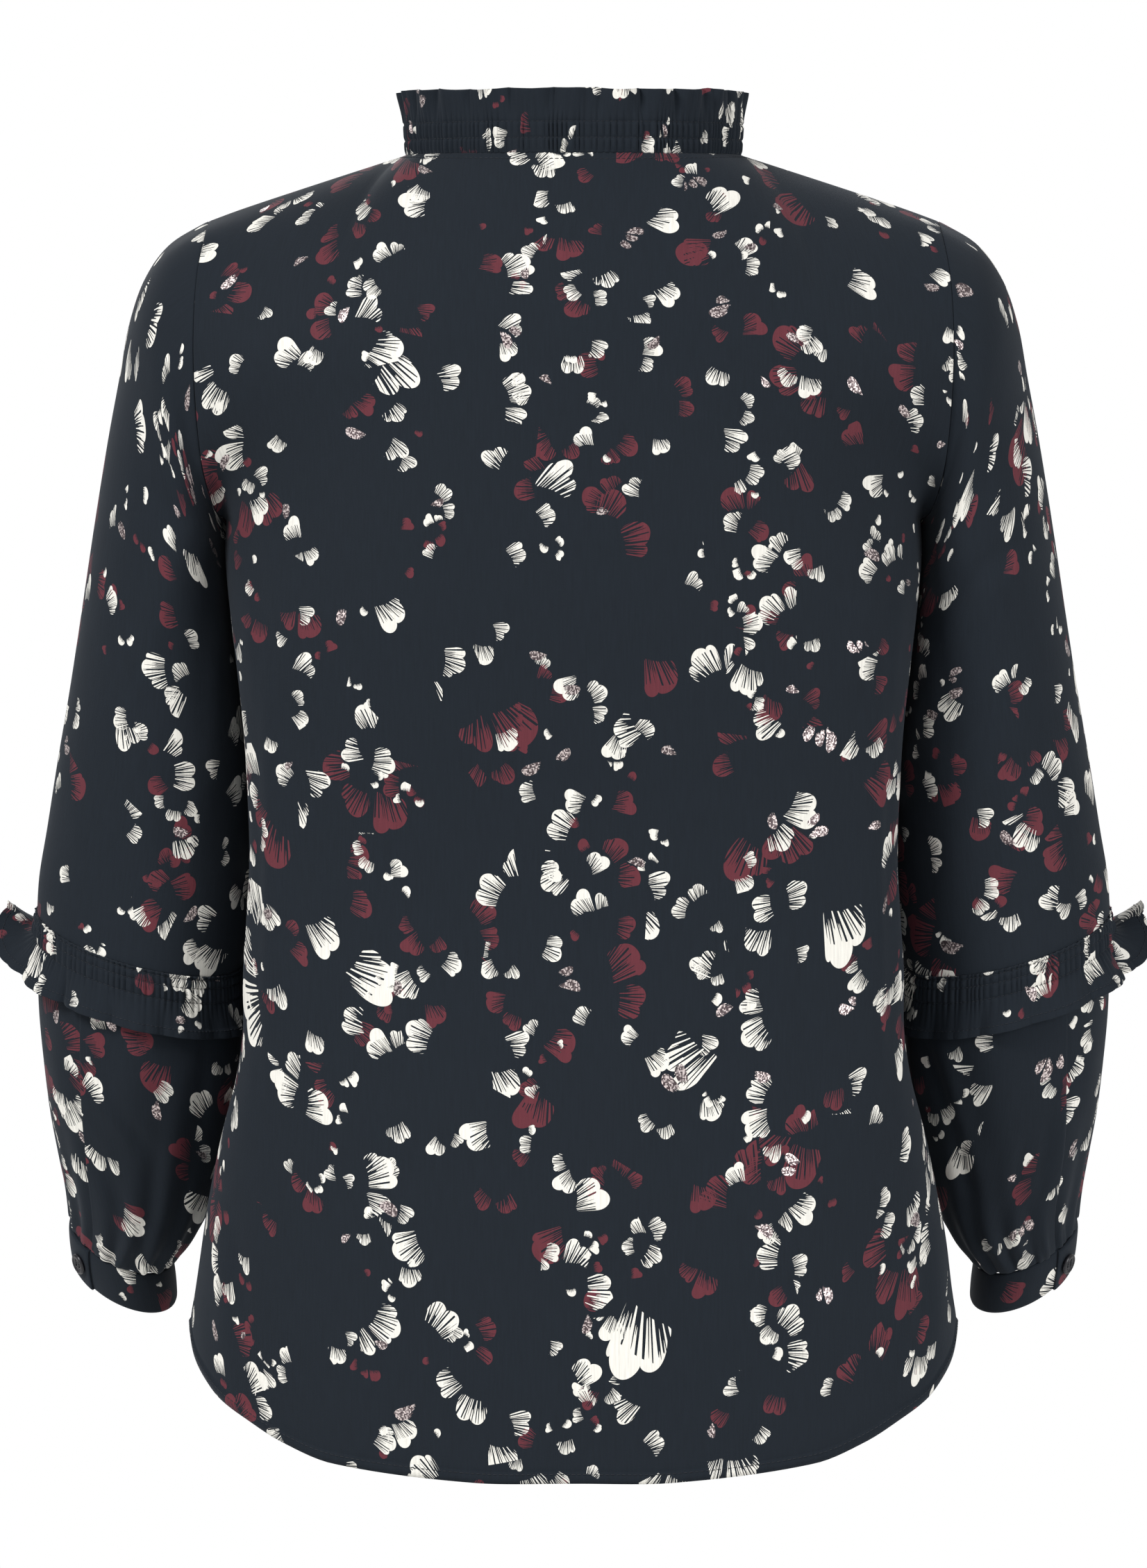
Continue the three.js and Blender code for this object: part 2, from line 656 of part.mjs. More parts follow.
const NECK_STEPS = 2 * NECK_COLUMNS;
const neckRing = [];
for (let k = 0; k < NECK_STEPS; k += 1) neckRing.push(neckPoint((360 * k) / NECK_STEPS));
share("collar", [neckRing], [neckRing.map((_, k) => collarFrame((360 * k) / NECK_STEPS).out)]);

// Back and front panels.
for (const [name, panel] of [["back", back], ["front", front]]) {
  const inner = innerGrid(panel.grid, panel.normals);
  panel.inner = inner.map((row) => row.map((p) => p.clone()));
  const columns = panel.grid[0].length;
  const seams = edgeRow(0, 1, columns, false);
  for (let i = 0; i < panel.grid.length; i += 1) {
    seams.push([i, 0, 0, 1, false], [i, columns - 1, 0, -1, false]);
  }
  const outer = panel.grid.map((row) => row.map((p) => p.clone()));
  drawBack(outer, inner, seams);
  add(name, solid(outer, inner, false, panel.out));
}

// Standing shirred collar: three zones of fine gathers under a waved frill.
const COLLAR_COLUMNS = 2 * COLLAR.gathers;
const COLLAR_ROWS = [
  { height: 0, relief: 0 },
  { height: 3.8, relief: 1 },
  { height: 7.7, relief: 0.45 },
  { height: 12.3, relief: 1 },
  { height: 17, relief: 0.45 },
  { height: 26, relief: 0.1 },
  { height: COLLAR.height, relief: 0 },
];
const COLLAR_INNER_ROWS = [0, 17, 26, COLLAR.height];
const COLLAR_STRIP = 17;

function collarPoint(column, height, relief) {
  const angle = (360 * column) / COLLAR_COLUMNS;
  const share = Math.max(0, height - COLLAR_STRIP) / (COLLAR.height - COLLAR_STRIP);
  const { up, out } = collarFrame(angle);
  const p = neckPoint(angle + 1.1 * share * wander(angle, 5));
  const wave = COLLAR.wave * (1 + 0.35 * wander(angle, 3)) * share;
  p.addScaledVector(up, height + share * 0.7 * wander(angle * 2, 1));
  const turn = (column * 2 * Math.PI) / COLLAR.perWave;
  const move = COLLAR.lean * height + wave * Math.cos(turn) + relief;
  return p.addScaledVector(out, move);
}

function alternate(column, relief) {
  return column % 2 ? relief : 0;
}

function gatheredGrids(rows, innerRows, columns, place, relief) {
  const numbers = Array.from({ length: columns }, (_, j) => j);
  const outer = rows.map((row) =>
    numbers.map((j) => place(j, row.height, alternate(j, relief * row.relief))),
  );
  const plain = innerRows.map((height) => numbers.map((j) => place(j, height, 0)));
  return { outer, plain };
}

const collar = gatheredGrids(
  COLLAR_ROWS,
  COLLAR_INNER_ROWS,
  COLLAR_COLUMNS,
  collarPoint,
  COLLAR.relief,
);
const collarNormals = gridNormals(collar.plain, true, 1);
const collarInner = collar.plain.map((row, i) =>
  row.map((p, j) => p.clone().addScaledVector(collarNormals[i][j], -WALL)),
);

// The collar's base edge takes its points from the panels' neckline edges.
function neckEdge(step) {
  const k = ((step % NECK_STEPS) + NECK_STEPS) % NECK_STEPS;
  const half = NECK_COLUMNS / 2;
  const onBack = k <= half || k >= NECK_STEPS - half;
  const panel = onBack ? back : front;
  const offset = onBack ? (k <= half ? k : k - NECK_STEPS) : NECK_COLUMNS - k;
  const column = SHOULDER_COLUMNS + half + offset;
  return { outer: panel.grid[0][column], inner: panel.inner[0][column] };
}

for (let j = 0; j < COLLAR_COLUMNS; j += 1) {
  const place = (j * NECK_STEPS) / COLLAR_COLUMNS;
  const step = Math.floor(place);
  const from = neckEdge(step);
  const to = neckEdge(step + 1);
  const { up } = collarFrame((360 * j) / COLLAR_COLUMNS);
  const lift = SEAM_GAP * 0.75;
  collar.outer[0][j] = from.outer.clone().lerp(to.outer, place - step).addScaledVector(up, lift);
  collarInner[0][j] = from.inner.clone().lerp(to.inner, place - step).addScaledVector(up, lift);
}
add("collar", solid(collar.outer, collarInner, true, 1));

const RUFFLE_ROWS = [
  { height: SEAM_GAP / 2, relief: 0.3 },
  { height: 2.8, relief: 1 },
  { height: 5.6, relief: 0.45 },
  { height: 9.8, relief: 1 },
  { height: RUFFLE.strip, relief: 0.45 },
  { height: 21, relief: 0.15 },
  { height: 28, relief: 0 },
  { height: RUFFLE.width, relief: 0 },
];
const RUFFLE_INNER_ROWS = [SEAM_GAP / 2, RUFFLE.strip, 21, 28, RUFFLE.width];

const RUFFLE_COLUMNS = 2 * RUFFLE.gathers;

for (const side of ["L", "R"]) {
  const left = side === "L";
  const face = (grid) => (left ? grid : mirrored(grid));
  const out = left ? 1 : -1;

  // Upper sleeve, from the armhole to the ruffle seam.
  const sleeve = left ? sleeveLeft : sleeveRight;
  const elbowDown = ringDown(ELBOW);
  const cuffDown = ringDown(CUFF_RING);
  if (!left) {
    elbowDown.x *= -1;
    cuffDown.x *= -1;
  }
  const end = sleeve.grid.length - 1;
  const sleeveInner = innerGrid(sleeve.grid, sleeve.normals, { [end]: elbowDown });
  const sleeveOuter = sleeve.grid.map((row) => row.map((p) => p.clone()));
  drawBack(sleeveOuter, sleeveInner, [
    ...edgeRow(0, 1, SLEEVE_COLUMNS, true),
    ...edgeRow(end, -1, SLEEVE_COLUMNS, true),
  ]);
  add(`sleeve_upper_${side}`, solid(sleeveOuter, sleeveInner, true, out));

  // Elbow ruffle: a shirred strip and its frill.
  const seed = left ? 4 : 9;
  const ruffle = gatheredGrids(
    RUFFLE_ROWS,
    RUFFLE_INNER_ROWS,
    RUFFLE_COLUMNS,
    (j, height, relief) => rufflePoint((360 * j) / RUFFLE_COLUMNS, height, j, seed, relief),
    RUFFLE.relief,
  );
  const ruffleOuter = face(ruffle.outer);
  const rufflePlain = face(ruffle.plain);
  const ruffleNormals = gridNormals(rufflePlain, true, out);
  const ruffleInner = rufflePlain.map((row, i) =>
    row.map((p, j) => {
      const way = ruffleNormals[i][j];
      if (i === 0) way.addScaledVector(elbowDown, -way.dot(elbowDown)).normalize();
      return p.clone().addScaledVector(way, -WALL);
    }),
  );
  add(`sleeve_ruffle_${side}`, solid(ruffleOuter, ruffleInner, true, out));

  // Lower sleeve, tucked just inside the ruffle and gathered into the cuff.
  const lower = face(lowerSleeveGrid());
  const lowerNormals = gridNormals(lower, true, out);
  share("lower", lower, lowerNormals);
  const planes = { 0: elbowDown, [lower.length - 1]: cuffDown };
  const lowerInner = innerGrid(lower, lowerNormals, planes);
  const lowerOuter = lower.map((row) => row.map((p) => p.clone()));
  drawBack(lowerOuter, lowerInner, edgeRow(lower.length - 1, -1, lower[0].length, true));
  add(`sleeve_lower_${side}`, solid(lowerOuter, lowerInner, true, out));

  // Cuff: an open strip whose ends lap at the outer back, under the button.
  const cuff = face(cuffGrid());
  const cuffNormals = gridNormals(cuff, false, -out);
  const cuffInner = cuff.map((row, i) =>
    row.map((p, j) => {
      const way = cuffNormals[i][j];
      if (i === 0) way.addScaledVector(cuffDown, -way.dot(cuffDown)).normalize();
      return p.clone().addScaledVector(way, -WALL);
    }),
  );
  drawBack(cuff, cuffInner, edgeRow(0, 1, cuff[0].length, false));
  add(`cuff_${side}`, solid(cuff, cuffInner, false, -out));

  // Flat four-hole button on the outer layer of the lap.
  const disc = new THREE.Shape(circle(0, 0, BUTTON.radius, 28));
  for (const [x, y] of [[1, 1], [-1, 1], [-1, -1], [1, -1]]) {
    const offset = BUTTON.holeOffset;
    disc.holes.push(new THREE.Path(circle(x * offset, y * offset, BUTTON.holeRadius, 8)));
  }
  const extrusion = { depth: BUTTON.thickness, bevelEnabled: false };
  const button = new THREE.ExtrudeGeometry(disc, extrusion);
  const buttonOut = ringOut(CUFF_RING, BUTTON.turn, CUFF_BOTTOM_SHIFT);
  const centre = ringPoint(CUFF_RING, BUTTON.turn).addScaledVector(CUFF_BOTTOM_SHIFT, 0.5);
  centre.addScaledVector(buttonOut, cuffStep(BUTTON.turn) + CUFF.bulge + LAYER_GAP);
  if (!left) {
    centre.x *= -1;
    buttonOut.x *= -1;
  }
  const turn = new THREE.Quaternion().setFromUnitVectors(vector(0, 0, 1), buttonOut);
  button.applyQuaternion(turn);
  button.translate(centre.x, centre.y, centre.z);
  add(`button_${side}`, button, BUTTON_COLOUR, 0.4);
}

export default blouse;
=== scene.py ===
# A printed crepe blouse in its worn, hollow shape: back, front, standing shirred collar,
# sleeves with elbow ruffles, gathered cuffs and their buttons.

import math

import bpy
import numpy as np
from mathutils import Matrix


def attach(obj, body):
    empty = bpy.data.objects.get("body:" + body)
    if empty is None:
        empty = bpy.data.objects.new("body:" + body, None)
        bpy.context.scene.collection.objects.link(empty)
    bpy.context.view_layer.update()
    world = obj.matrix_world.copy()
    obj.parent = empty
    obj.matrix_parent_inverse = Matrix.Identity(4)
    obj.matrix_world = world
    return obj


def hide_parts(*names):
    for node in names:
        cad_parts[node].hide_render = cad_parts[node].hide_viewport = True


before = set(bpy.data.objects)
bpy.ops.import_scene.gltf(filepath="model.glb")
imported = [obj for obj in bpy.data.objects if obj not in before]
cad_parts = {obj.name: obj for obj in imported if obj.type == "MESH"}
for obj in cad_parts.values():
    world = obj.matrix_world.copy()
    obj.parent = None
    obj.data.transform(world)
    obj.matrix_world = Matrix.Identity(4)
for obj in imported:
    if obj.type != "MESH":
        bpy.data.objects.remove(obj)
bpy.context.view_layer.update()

# The cloth: a light, matt polyester crepe, dyed dark navy and screen-printed with loose brushed
# petals in cream and burgundy and a few in silver glitter. Its face is pebbly, with fine slubs,
# and the print shows through only faintly on its wrong side.


def node(tree, kind, inputs=None, **settings):
    made = tree.nodes.new(kind)
    for name, value in settings.items():
        setattr(made, name, value)
    for key, value in (inputs or {}).items():
        if isinstance(value, bpy.types.NodeSocket):
            tree.links.new(value, made.inputs[key])
        else:
            made.inputs[key].default_value = value
    return made


def calc(tree, operation, *values):
    made = node(tree, "ShaderNodeMath", dict(enumerate(values)), operation=operation)
    return made.outputs[0]


def shift(tree, operation, *values):
    made = node(tree, "ShaderNodeVectorMath", dict(enumerate(values)), operation=operation)
    return made.outputs[0]


def scaled(tree, vector, amount):
    return node(tree, "ShaderNodeVectorMath", {0: vector, 3: amount}, operation="SCALE").outputs[0]


def sums_in(tree):
    """calc for one tree, so that its formulas stay short."""
    return lambda operation, *values: calc(tree, operation, *values)


def empty_material(name):
    made = bpy.data.materials.new(name)
    made.use_nodes = True
    made.node_tree.nodes.clear()
    return made, made.node_tree


def ramp(tree, value, low, high):
    made = node(tree, "ShaderNodeMapRange", {0: value, 1: low, 2: high}, interpolation_type="SMOOTHSTEP")
    return made.outputs[0]


def mix(tree, share, first, second):
    made = node(tree, "ShaderNodeMix", {0: share, 6: first, 7: second}, data_type="RGBA")
    return made.outputs[2]


def shader_group(name, inputs, outputs):
    tree = bpy.data.node_groups.new(name, "ShaderNodeTree")
    for label, kind, value in inputs:
        socket = tree.interface.new_socket(label, in_out="INPUT", socket_type="NodeSocket" + kind)
        if value is not None:
            socket.default_value = value
    for label, kind in outputs:
        tree.interface.new_socket(label, in_out="OUTPUT", socket_type="NodeSocket" + kind)
    return tree, tree.nodes.new("NodeGroupInput").outputs, tree.nodes.new("NodeGroupOutput").inputs


def place(tree, group, inputs):
    return node(tree, "ShaderNodeGroup", inputs, node_tree=group).outputs


# One brushed petal, its root at the origin and its tip along +X, all lengths in metres. Its far
# edge is lobed, and its near edge breaks up into the streaks that a dry brush leaves. Up to three
# petals fan out from the one root, each with a length of its own.
petal, given, put = shader_group(
    "brushed petal",
    [
        ("Place", "Vector", None),
        ("Length", "Float", 0.03),
        ("Half angle", "Float", 0.5),
        ("Lobes", "Float", 2.0),
        ("Streaks", "Float", 0.5),
        ("Beside", "Float", 0.0),
        ("Seed", "Float", 0.0),
    ],
    [("Mask", "Float")],
)
work = sums_in(petal)
parts = node(petal, "ShaderNodeSeparateXYZ", {0: given["Place"]}).outputs
radius = node(petal, "ShaderNodeVectorMath", {0: given["Place"]}, operation="LENGTH").outputs["Value"]
angle = work("ARCTAN2", parts["Y"], parts["X"])
pitch = work("MULTIPLY", given["Half angle"], 2.1)
which = work("ROUND", work("DIVIDE", angle, pitch))
centred = work("SUBTRACT", angle, work("MULTIPLY", which, pitch))
across = work("DIVIDE", centred, given["Half angle"])
own = work("SINE", work("MULTIPLY_ADD", which, 2.4, given["Seed"]))
along = work("DIVIDE", radius, given["Length"])
lobes = work("SINE", work("MULTIPLY_ADD", across, given["Lobes"], work("MULTIPLY", own, 3.0)))
lobes = work("POWER", work("ABSOLUTE", lobes), 0.6)
outer = work("MULTIPLY_ADD", lobes, 0.10, work("MULTIPLY_ADD", own, 0.11, 0.80))
outer = work("MULTIPLY_ADD", work("MULTIPLY", across, own), 0.15, outer)
outer = work("MULTIPLY_ADD", work("POWER", work("ABSOLUTE", across), 3.0), -0.24, outer)
bristle = node(
    petal,
    "ShaderNodeTexNoise",
    {"W": work("MULTIPLY_ADD", angle, 24.0, given["Seed"]), "Scale": 1.0, "Detail": 1.0},
    noise_dimensions="1D",
).outputs[0]
dry = work("MULTIPLY", ramp(petal, bristle, 0.40, 0.62), given["Streaks"])
inner = work("MULTIPLY_ADD", across, work("MULTIPLY", own, -0.14), 0.50)
inner = work("MULTIPLY_ADD", dry, 0.36, inner)
side = work("MULTIPLY", work("SUBTRACT", 0.93, work("ABSOLUTE", across)), given["Half angle"])
side = work("MULTIPLY", side, along)
nearest = work("MINIMUM", work("SUBTRACT", outer, along), work("SUBTRACT", along, inner))
nearest = work("SMOOTH_MIN", nearest, side, 0.12)
within = ramp(petal, work("MULTIPLY", nearest, given["Length"]), 0.0, 0.00025)
offset = work("ABSOLUTE", work("SUBTRACT", which, work("MULTIPLY", given["Beside"], 0.5)))
shown = work("LESS_THAN", offset, work("MULTIPLY_ADD", given["Beside"], 0.5, 0.1))
petal.links.new(work("MULTIPLY", within, shown), put["Mask"])

# A loose scatter of petals: each cell of the cloth holds at most one spray, turned its own way,
# and more of them lie near the wavering upright lines that the chains of petals follow.
scatter, given, put = shader_group(
    "petal scatter",
    [
        ("Cloth", "Vector", None),
        ("Cell", "Float", 0.08),
        ("Seed", "Float", 0.0),
        ("Kept", "Float", 0.7),
        ("Shortest", "Float", 0.02),
        ("Longest", "Float", 0.04),
        ("Half angle", "Float", 0.5),
        ("Lobes", "Float", 2.0),
        ("Streaks", "Float", 0.5),
        ("Spray", "Float", 0.5),
    ],
    [("Mask", "Float")],
)
work = sums_in(scatter)
moved = node(scatter, "ShaderNodeCombineXYZ", {0: given["Seed"], 1: work("MULTIPLY", given["Seed"], 1.7)})
cells = shift(scatter, "DIVIDE", given["Cloth"], given["Cell"])
cells = shift(scatter, "ADD", cells, moved.outputs[0])
nearest = node(
    scatter,
    "ShaderNodeTexVoronoi",
    {"Vector": cells, "Scale": 1.0, "Randomness": 0.8},
    voronoi_dimensions="2D",
).outputs
chance = node(scatter, "ShaderNodeSeparateColor", {0: nearest["Color"]}).outputs
away = scaled(scatter, shift(scatter, "SUBTRACT", cells, nearest["Position"]), given["Cell"])
turn = work("MULTIPLY_ADD", chance[0], 5.2, -1.03)
away = node(
    scatter, "ShaderNodeVectorRotate", {"Vector": away, "Angle": turn}, rotation_type="Z_AXIS"
).outputs[0]
span = work("SUBTRACT", given["Longest"], given["Shortest"])
length = work("MULTIPLY_ADD", chance[1], span, given["Shortest"])
to_root = node(scatter, "ShaderNodeCombineXYZ", {0: work("MULTIPLY", length, 0.68)}).outputs[0]
lot = work("FRACT", work("MULTIPLY", chance[2], 5.37))
beside = work(
    "ADD",
    work("LESS_THAN", lot, given["Spray"]),
    work("LESS_THAN", lot, work("MULTIPLY", given["Spray"], 0.4)),
)
spray = place(
    scatter,
    petal,
    {
        "Place": shift(scatter, "ADD", away, to_root),
        "Length": length,
        "Half angle": given["Half angle"],
        "Lobes": given["Lobes"],
        "Streaks": given["Streaks"],
        "Beside": beside,
        "Seed": work("MULTIPLY_ADD", chance[2], 97.0, given["Seed"]),
    },
)["Mask"]
at = scaled(scatter, shift(scatter, "SUBTRACT", nearest["Position"], moved.outputs[0]), given["Cell"])
at = node(scatter, "ShaderNodeSeparateXYZ", {0: at}).outputs
sway = work("SINE", work("MULTIPLY_ADD", at["Y"], 26.0, work("MULTIPLY", at["X"], 9.0)))
chain = work("COSINE", work("MULTIPLY", work("MULTIPLY_ADD", sway, 0.024, at["X"]), 57.0))
likely = work("MULTIPLY_ADD", chain, 0.2, given["Kept"])
kept = work("LESS_THAN", work("FRACT", work("MULTIPLY", chance[2], 7.13)), likely)
scatter.links.new(work("MULTIPLY", spray, kept), put["Mask"])

# The whole print, in the order it is screened on: burgundy, then cream, then glitter. Each screen
# gives the ink, the size of a cell in metres, its seed, the share of cells kept, the shortest and
# longest petal in metres, half the petal's angle, how lobed and how streaky it is, and the share
# of roots that carry more than one petal.
NAVY = (0.0078, 0.0122, 0.0185, 1)
CREAM = (0.80, 0.78, 0.72, 1)
BURGUNDY = (0.118, 0.024, 0.034, 1)
SCREENS = (
    ("burgundy", 0.078, 3.1, 0.32, 0.038, 0.050, 0.40, 2.2, 1.0, 0.65),
    ("burgundy", 0.038, 17.4, 0.34, 0.021, 0.031, 0.42, 2.0, 0.9, 0.45),
    ("burgundy", 0.022, 29.3, 0.07, 0.010, 0.014, 0.40, 1.5, 0.4, 0.2),
    ("cream", 0.130, 8.7, 0.30, 0.054, 0.074, 0.40, 4.2, 1.0, 0.1),
    ("cream", 0.040, 23.9, 0.46, 0.025, 0.038, 0.46, 3.6, 1.0, 0.35),
    ("cream", 0.029, 71.2, 0.38, 0.016, 0.026, 0.48, 3.0, 1.0, 0.4),
    ("cream", 0.0175, 41.3, 0.07, 0.009, 0.012, 0.50, 2.0, 0.4, 0.3),
    ("glitter", 0.036, 57.6, 0.24, 0.018, 0.028, 0.20, 0.6, 0.2, 0.1),
)

petal_print, given, put = shader_group(
    "petal print",
    [("Cloth", "Vector", None), ("Ground", "Color", NAVY), ("Strength", "Float", 1.0)],
    [("Color", "Color"), ("Ink", "Float"), ("Glitter", "Float")],
)
work = sums_in(petal_print)
screens = {}
for ink, cell, seed, kept, shortest, longest, half, lobes, streaks, spray in SCREENS:
    mask = place(
        petal_print,
        scatter,
        {
            "Cloth": given["Cloth"],
            "Cell": cell,
            "Seed": seed,
            "Kept": kept,
            "Shortest": shortest,
            "Longest": longest,
            "Half angle": half,
            "Lobes": lobes,
            "Streaks": streaks,
            "Spray": spray,
        },
    )["Mask"]
    screens[ink] = work("MAXIMUM", screens[ink], mask) if ink in screens else mask
# Glitter ink: each 0.7 mm speck gets its own colour from dark to bright. The silver flakes' glints are
# painted in as bright specks, and flakes turned from the light are painted dark.
speck_at = shift(petal_print, "SNAP", given["Cloth"], (0.0007, 0.0007, 1.0))
specks = node(petal_print, "ShaderNodeTexWhiteNoise", {0: speck_at}, noise_dimensions="2D").outputs[0]
flake_glint = mix(petal_print, ramp(petal_print, specks, 0.35, 0.95), (0.10, 0.075, 0.08, 1), (0.85, 0.74, 0.72, 1))
color = given["Ground"]
for ink, tint in (("burgundy", BURGUNDY), ("cream", CREAM), ("glitter", flake_glint)):
    color = mix(petal_print, work("MULTIPLY", screens[ink], given["Strength"]), color, tint)
ink = work("MAXIMUM", screens["burgundy"], screens["cream"])
petal_print.links.new(color, put["Color"])
petal_print.links.new(work("MULTIPLY", ink, given["Strength"]), put["Ink"])
petal_print.links.new(work("MULTIPLY", screens["glitter"], given["Strength"]), put["Glitter"])

# The weave: fine crossed yarns broken up by the pebble of the crepe twist.
crepe_weave, given, put = shader_group(
    "crepe weave",
    [("Cloth", "Vector", None), ("Yarns per metre", "Float", 2100.0)],
    [("Height", "Float"), ("Shade", "Float")],
)
work = sums_in(crepe_weave)
parts = node(crepe_weave, "ShaderNodeSeparateXYZ", {0: given["Cloth"]}).outputs
warp = work("SINE", work("MULTIPLY", parts["X"], work("MULTIPLY", given["Yarns per metre"], 6.2832)))
weft = work("SINE", work("MULTIPLY", parts["Y"], work("MULTIPLY", given["Yarns per metre"], 5.4)))
crossed = work("MULTIPLY", warp, weft)
pebble = node(
    crepe_weave, "ShaderNodeTexNoise", {"Vector": given["Cloth"], "Scale": 900.0, "Detail": 2.0},
    noise_dimensions="2D",
).outputs[0]
drawn_out = shift(crepe_weave, "MULTIPLY", given["Cloth"], (900.0, 60.0, 1.0))
slub = node(
    crepe_weave,
    "ShaderNodeTexNoise",
    {"Vector": drawn_out, "Scale": 1.0, "Detail": 2.0},
    noise_dimensions="2D",
).outputs[0]
height = work("MULTIPLY_ADD", crossed, 0.25, work("MULTIPLY_ADD", slub, 0.5, pebble))
crepe_weave.links.new(height, put["Height"])
crepe_weave.links.new(work("MULTIPLY_ADD", work("SUBTRACT", slub, 0.5), 0.35, 1.0), put["Shade"])


def crepe(name, ground, strength, roughness):
    made, tree = empty_material(name)
    cloth = node(tree, "ShaderNodeUVMap", uv_map="cloth").outputs[0]
    printed = place(tree, petal_print, {"Cloth": cloth, "Ground": ground, "Strength": strength})
    weave = place(tree, crepe_weave, {"Cloth": cloth})
    shade = scaled(tree, printed["Color"], weave["Shade"])
    gloss = calc(tree, "MULTIPLY_ADD", printed["Ink"], -0.12, roughness)
    gloss = calc(tree, "MULTIPLY_ADD", printed["Glitter"], -0.45, gloss)
    shine = calc(tree, "MULTIPLY", printed["Glitter"], 0.7)
    bump = node(tree, "ShaderNodeBump", {"Height": weave["Height"], "Strength": 0.35, "Distance": 0.0002})
    cover = node(
        tree,
        "ShaderNodeBsdfPrincipled",
        {"Base Color": shade, "Roughness": gloss, "Metallic": shine, "Normal": bump.outputs[0]},
    )
    cover.inputs["Sheen Weight"].default_value = 0.08
    cover.inputs["Sheen Roughness"].default_value = 0.5
    cover.inputs["Sheen Tint"].default_value = (0.55, 0.6, 0.68, 1)
    cover.inputs["Specular IOR Level"].default_value = 0.22
    node(tree, "ShaderNodeOutputMaterial", {"Surface": cover.outputs[0]})
    return made


crepe_face = crepe("printed crepe", NAVY, 1.0, 0.86)
crepe_reverse = crepe("printed crepe, wrong side", (0.014, 0.019, 0.027, 1), 0.42, 0.92)

# Back: one panel of crepe from side seam to side seam, with no yoke. It is cut with a shirt-tail
# hem, turned twice and stitched, and joined to the front at the shoulders and down the sides.
# Every length from here on is in millimetres until a mesh is made.

BODY = dict(
    z=[-760, -700, -672, -646, -602, -580, -555, -528, -500,
       -470, -437, -402, -366, -330, -293, -260, -229, -207],
    half_width=[220, 222, 221, 217, 210.5, 206.5, 201, 194, 190,
                190, 188.2, 186.6, 187.5, 189.5, 193.5, 197.5, 200.6, 200.2],
    side=[12, 14, 16, 18, 22, 25, 29, 33, 37, 39, 39, 39, 38, 36, 31, 20, 3, -6],
    back=[134, 132, 130, 128, 124.5, 122, 120, 117, 114, 111, 109, 109, 111, 115, 118, 121, 122, 122],
    front=[-150, -150, -151, -152, -153, -153, -154, -154, -155,
           -156, -157, -159, -160, -161, -162, -161, -156, -150],
)
HEM = dict(
    x=[0, 58, 138, 167, 186, 202, 211, 217, 221],
    z=[-758, -757.5, -747, -735, -723, -711, -699, -687, -672],
)
SHOULDER = dict(x=[96, 118, 155, 191, 210], z=[4, -3, -15, -27, -34])
ARMHOLE = dict(
    back=[(200, -6, -207), (206, 22, -201), (213, 47, -177), (217, 60, -138), (218, 61, -100), (216, 50, -66),
          (212, 28, -43), (210, 0, -34)],
    front=[(200, -6, -207), (203, -34, -203), (203, -58, -180), (199, -70, -142), (198, -70, -104),
           (202, -58, -70), (207, -32, -44), (210, 0, -34)],
)
CHEST_ROW = dict(back=(116, -106, 58), front=(-124, -118, 60))
UNDERARM_Z = -207
HEM_SIDE_Z = -672
FRONT_HEM_SHARE = 0.73
NECK_SHARE = 0.6
SECTION_POWER = 2.4
EDGE_HOLD = 6


def read(table, by, at, column):
    x = np.array(table[by], float)
    y = np.array(table[column], float)
    at = np.clip(at, x[0], x[-1])
    k = np.clip(np.searchsorted(x, at) - 1, 0, len(x) - 2)
    low = np.maximum(np.arange(len(x)) - 1, 0)
    high = np.minimum(np.arange(len(x)) + 1, len(x) - 1)
    slope = (y[high] - y[low]) / (x[high] - x[low])
    step = x[k + 1] - x[k]
    u = (at - x[k]) / step
    rise = y[k + 1] - y[k]
    lead = slope[k] * step
    tail = slope[k + 1] * step
    return y[k] + lead * u + (3 * rise - 2 * lead - tail) * u**2 + (lead + tail - 2 * rise) * u**3


def smooth(low, high, value):
    u = np.clip((np.asarray(value, float) - low) / (high - low), 0, 1)
    return u * u * (3 - 2 * u)


def unit(vectors):
    return vectors / np.maximum(np.linalg.norm(vectors, axis=-1, keepdims=True), 1e-9)


def stack(x, y, z):
    return np.stack(np.broadcast_arrays(x, y, z), axis=-1).astype(float)


def hermite(start, leave, end, arrive, u):
    return (
        start * (2 * u**3 - 3 * u**2 + 1) + leave * (u**3 - 2 * u**2 + u)
        + end * (3 * u**2 - 2 * u**3) + arrive * (u**3 - u**2)
    )


def armhole(face, shares):
    knots = np.array(ARMHOLE[face], float)
    knots = np.vstack([2 * knots[0] - knots[1], knots, 2 * knots[-1] - knots[-2]])
    line = []
    for a, b, c, d in zip(knots, knots[1:], knots[2:], knots[3:]):
        first, second, third = (math.sqrt(np.linalg.norm(q - p)) for p, q in ((a, b), (b, c), (c, d)))
        leave = ((b - a) / first - (c - a) / (first + second) + (c - b) / second) * second
        arrive = ((c - b) / second - (d - b) / (second + third) + (d - c) / third) * second
        line.append(hermite(b, leave, c, arrive, np.linspace(0, 1, 33)[:-1, None]))
    line = np.vstack(line + [knots[-2:-1]])
    run = np.concatenate([[0], np.cumsum(np.linalg.norm(np.diff(line, axis=0), axis=1))])
    return np.stack([np.interp(np.asarray(shares) * run[-1], run, line[:, k]) for k in range(3)], axis=-1)


def body_point(face, turn, z):
    half_width = read(BODY, "z", z, "half_width")
    side = read(BODY, "z", z, "side")
    depth = read(BODY, "z", z, face) - side
    across = np.sin(np.radians(turn))
    along = np.cos(np.radians(turn))
    reach = (np.abs(across) ** SECTION_POWER + np.abs(along) ** SECTION_POWER) ** (-1 / SECTION_POWER)
    return stack(half_width * reach * across, side + depth * reach * along, z)


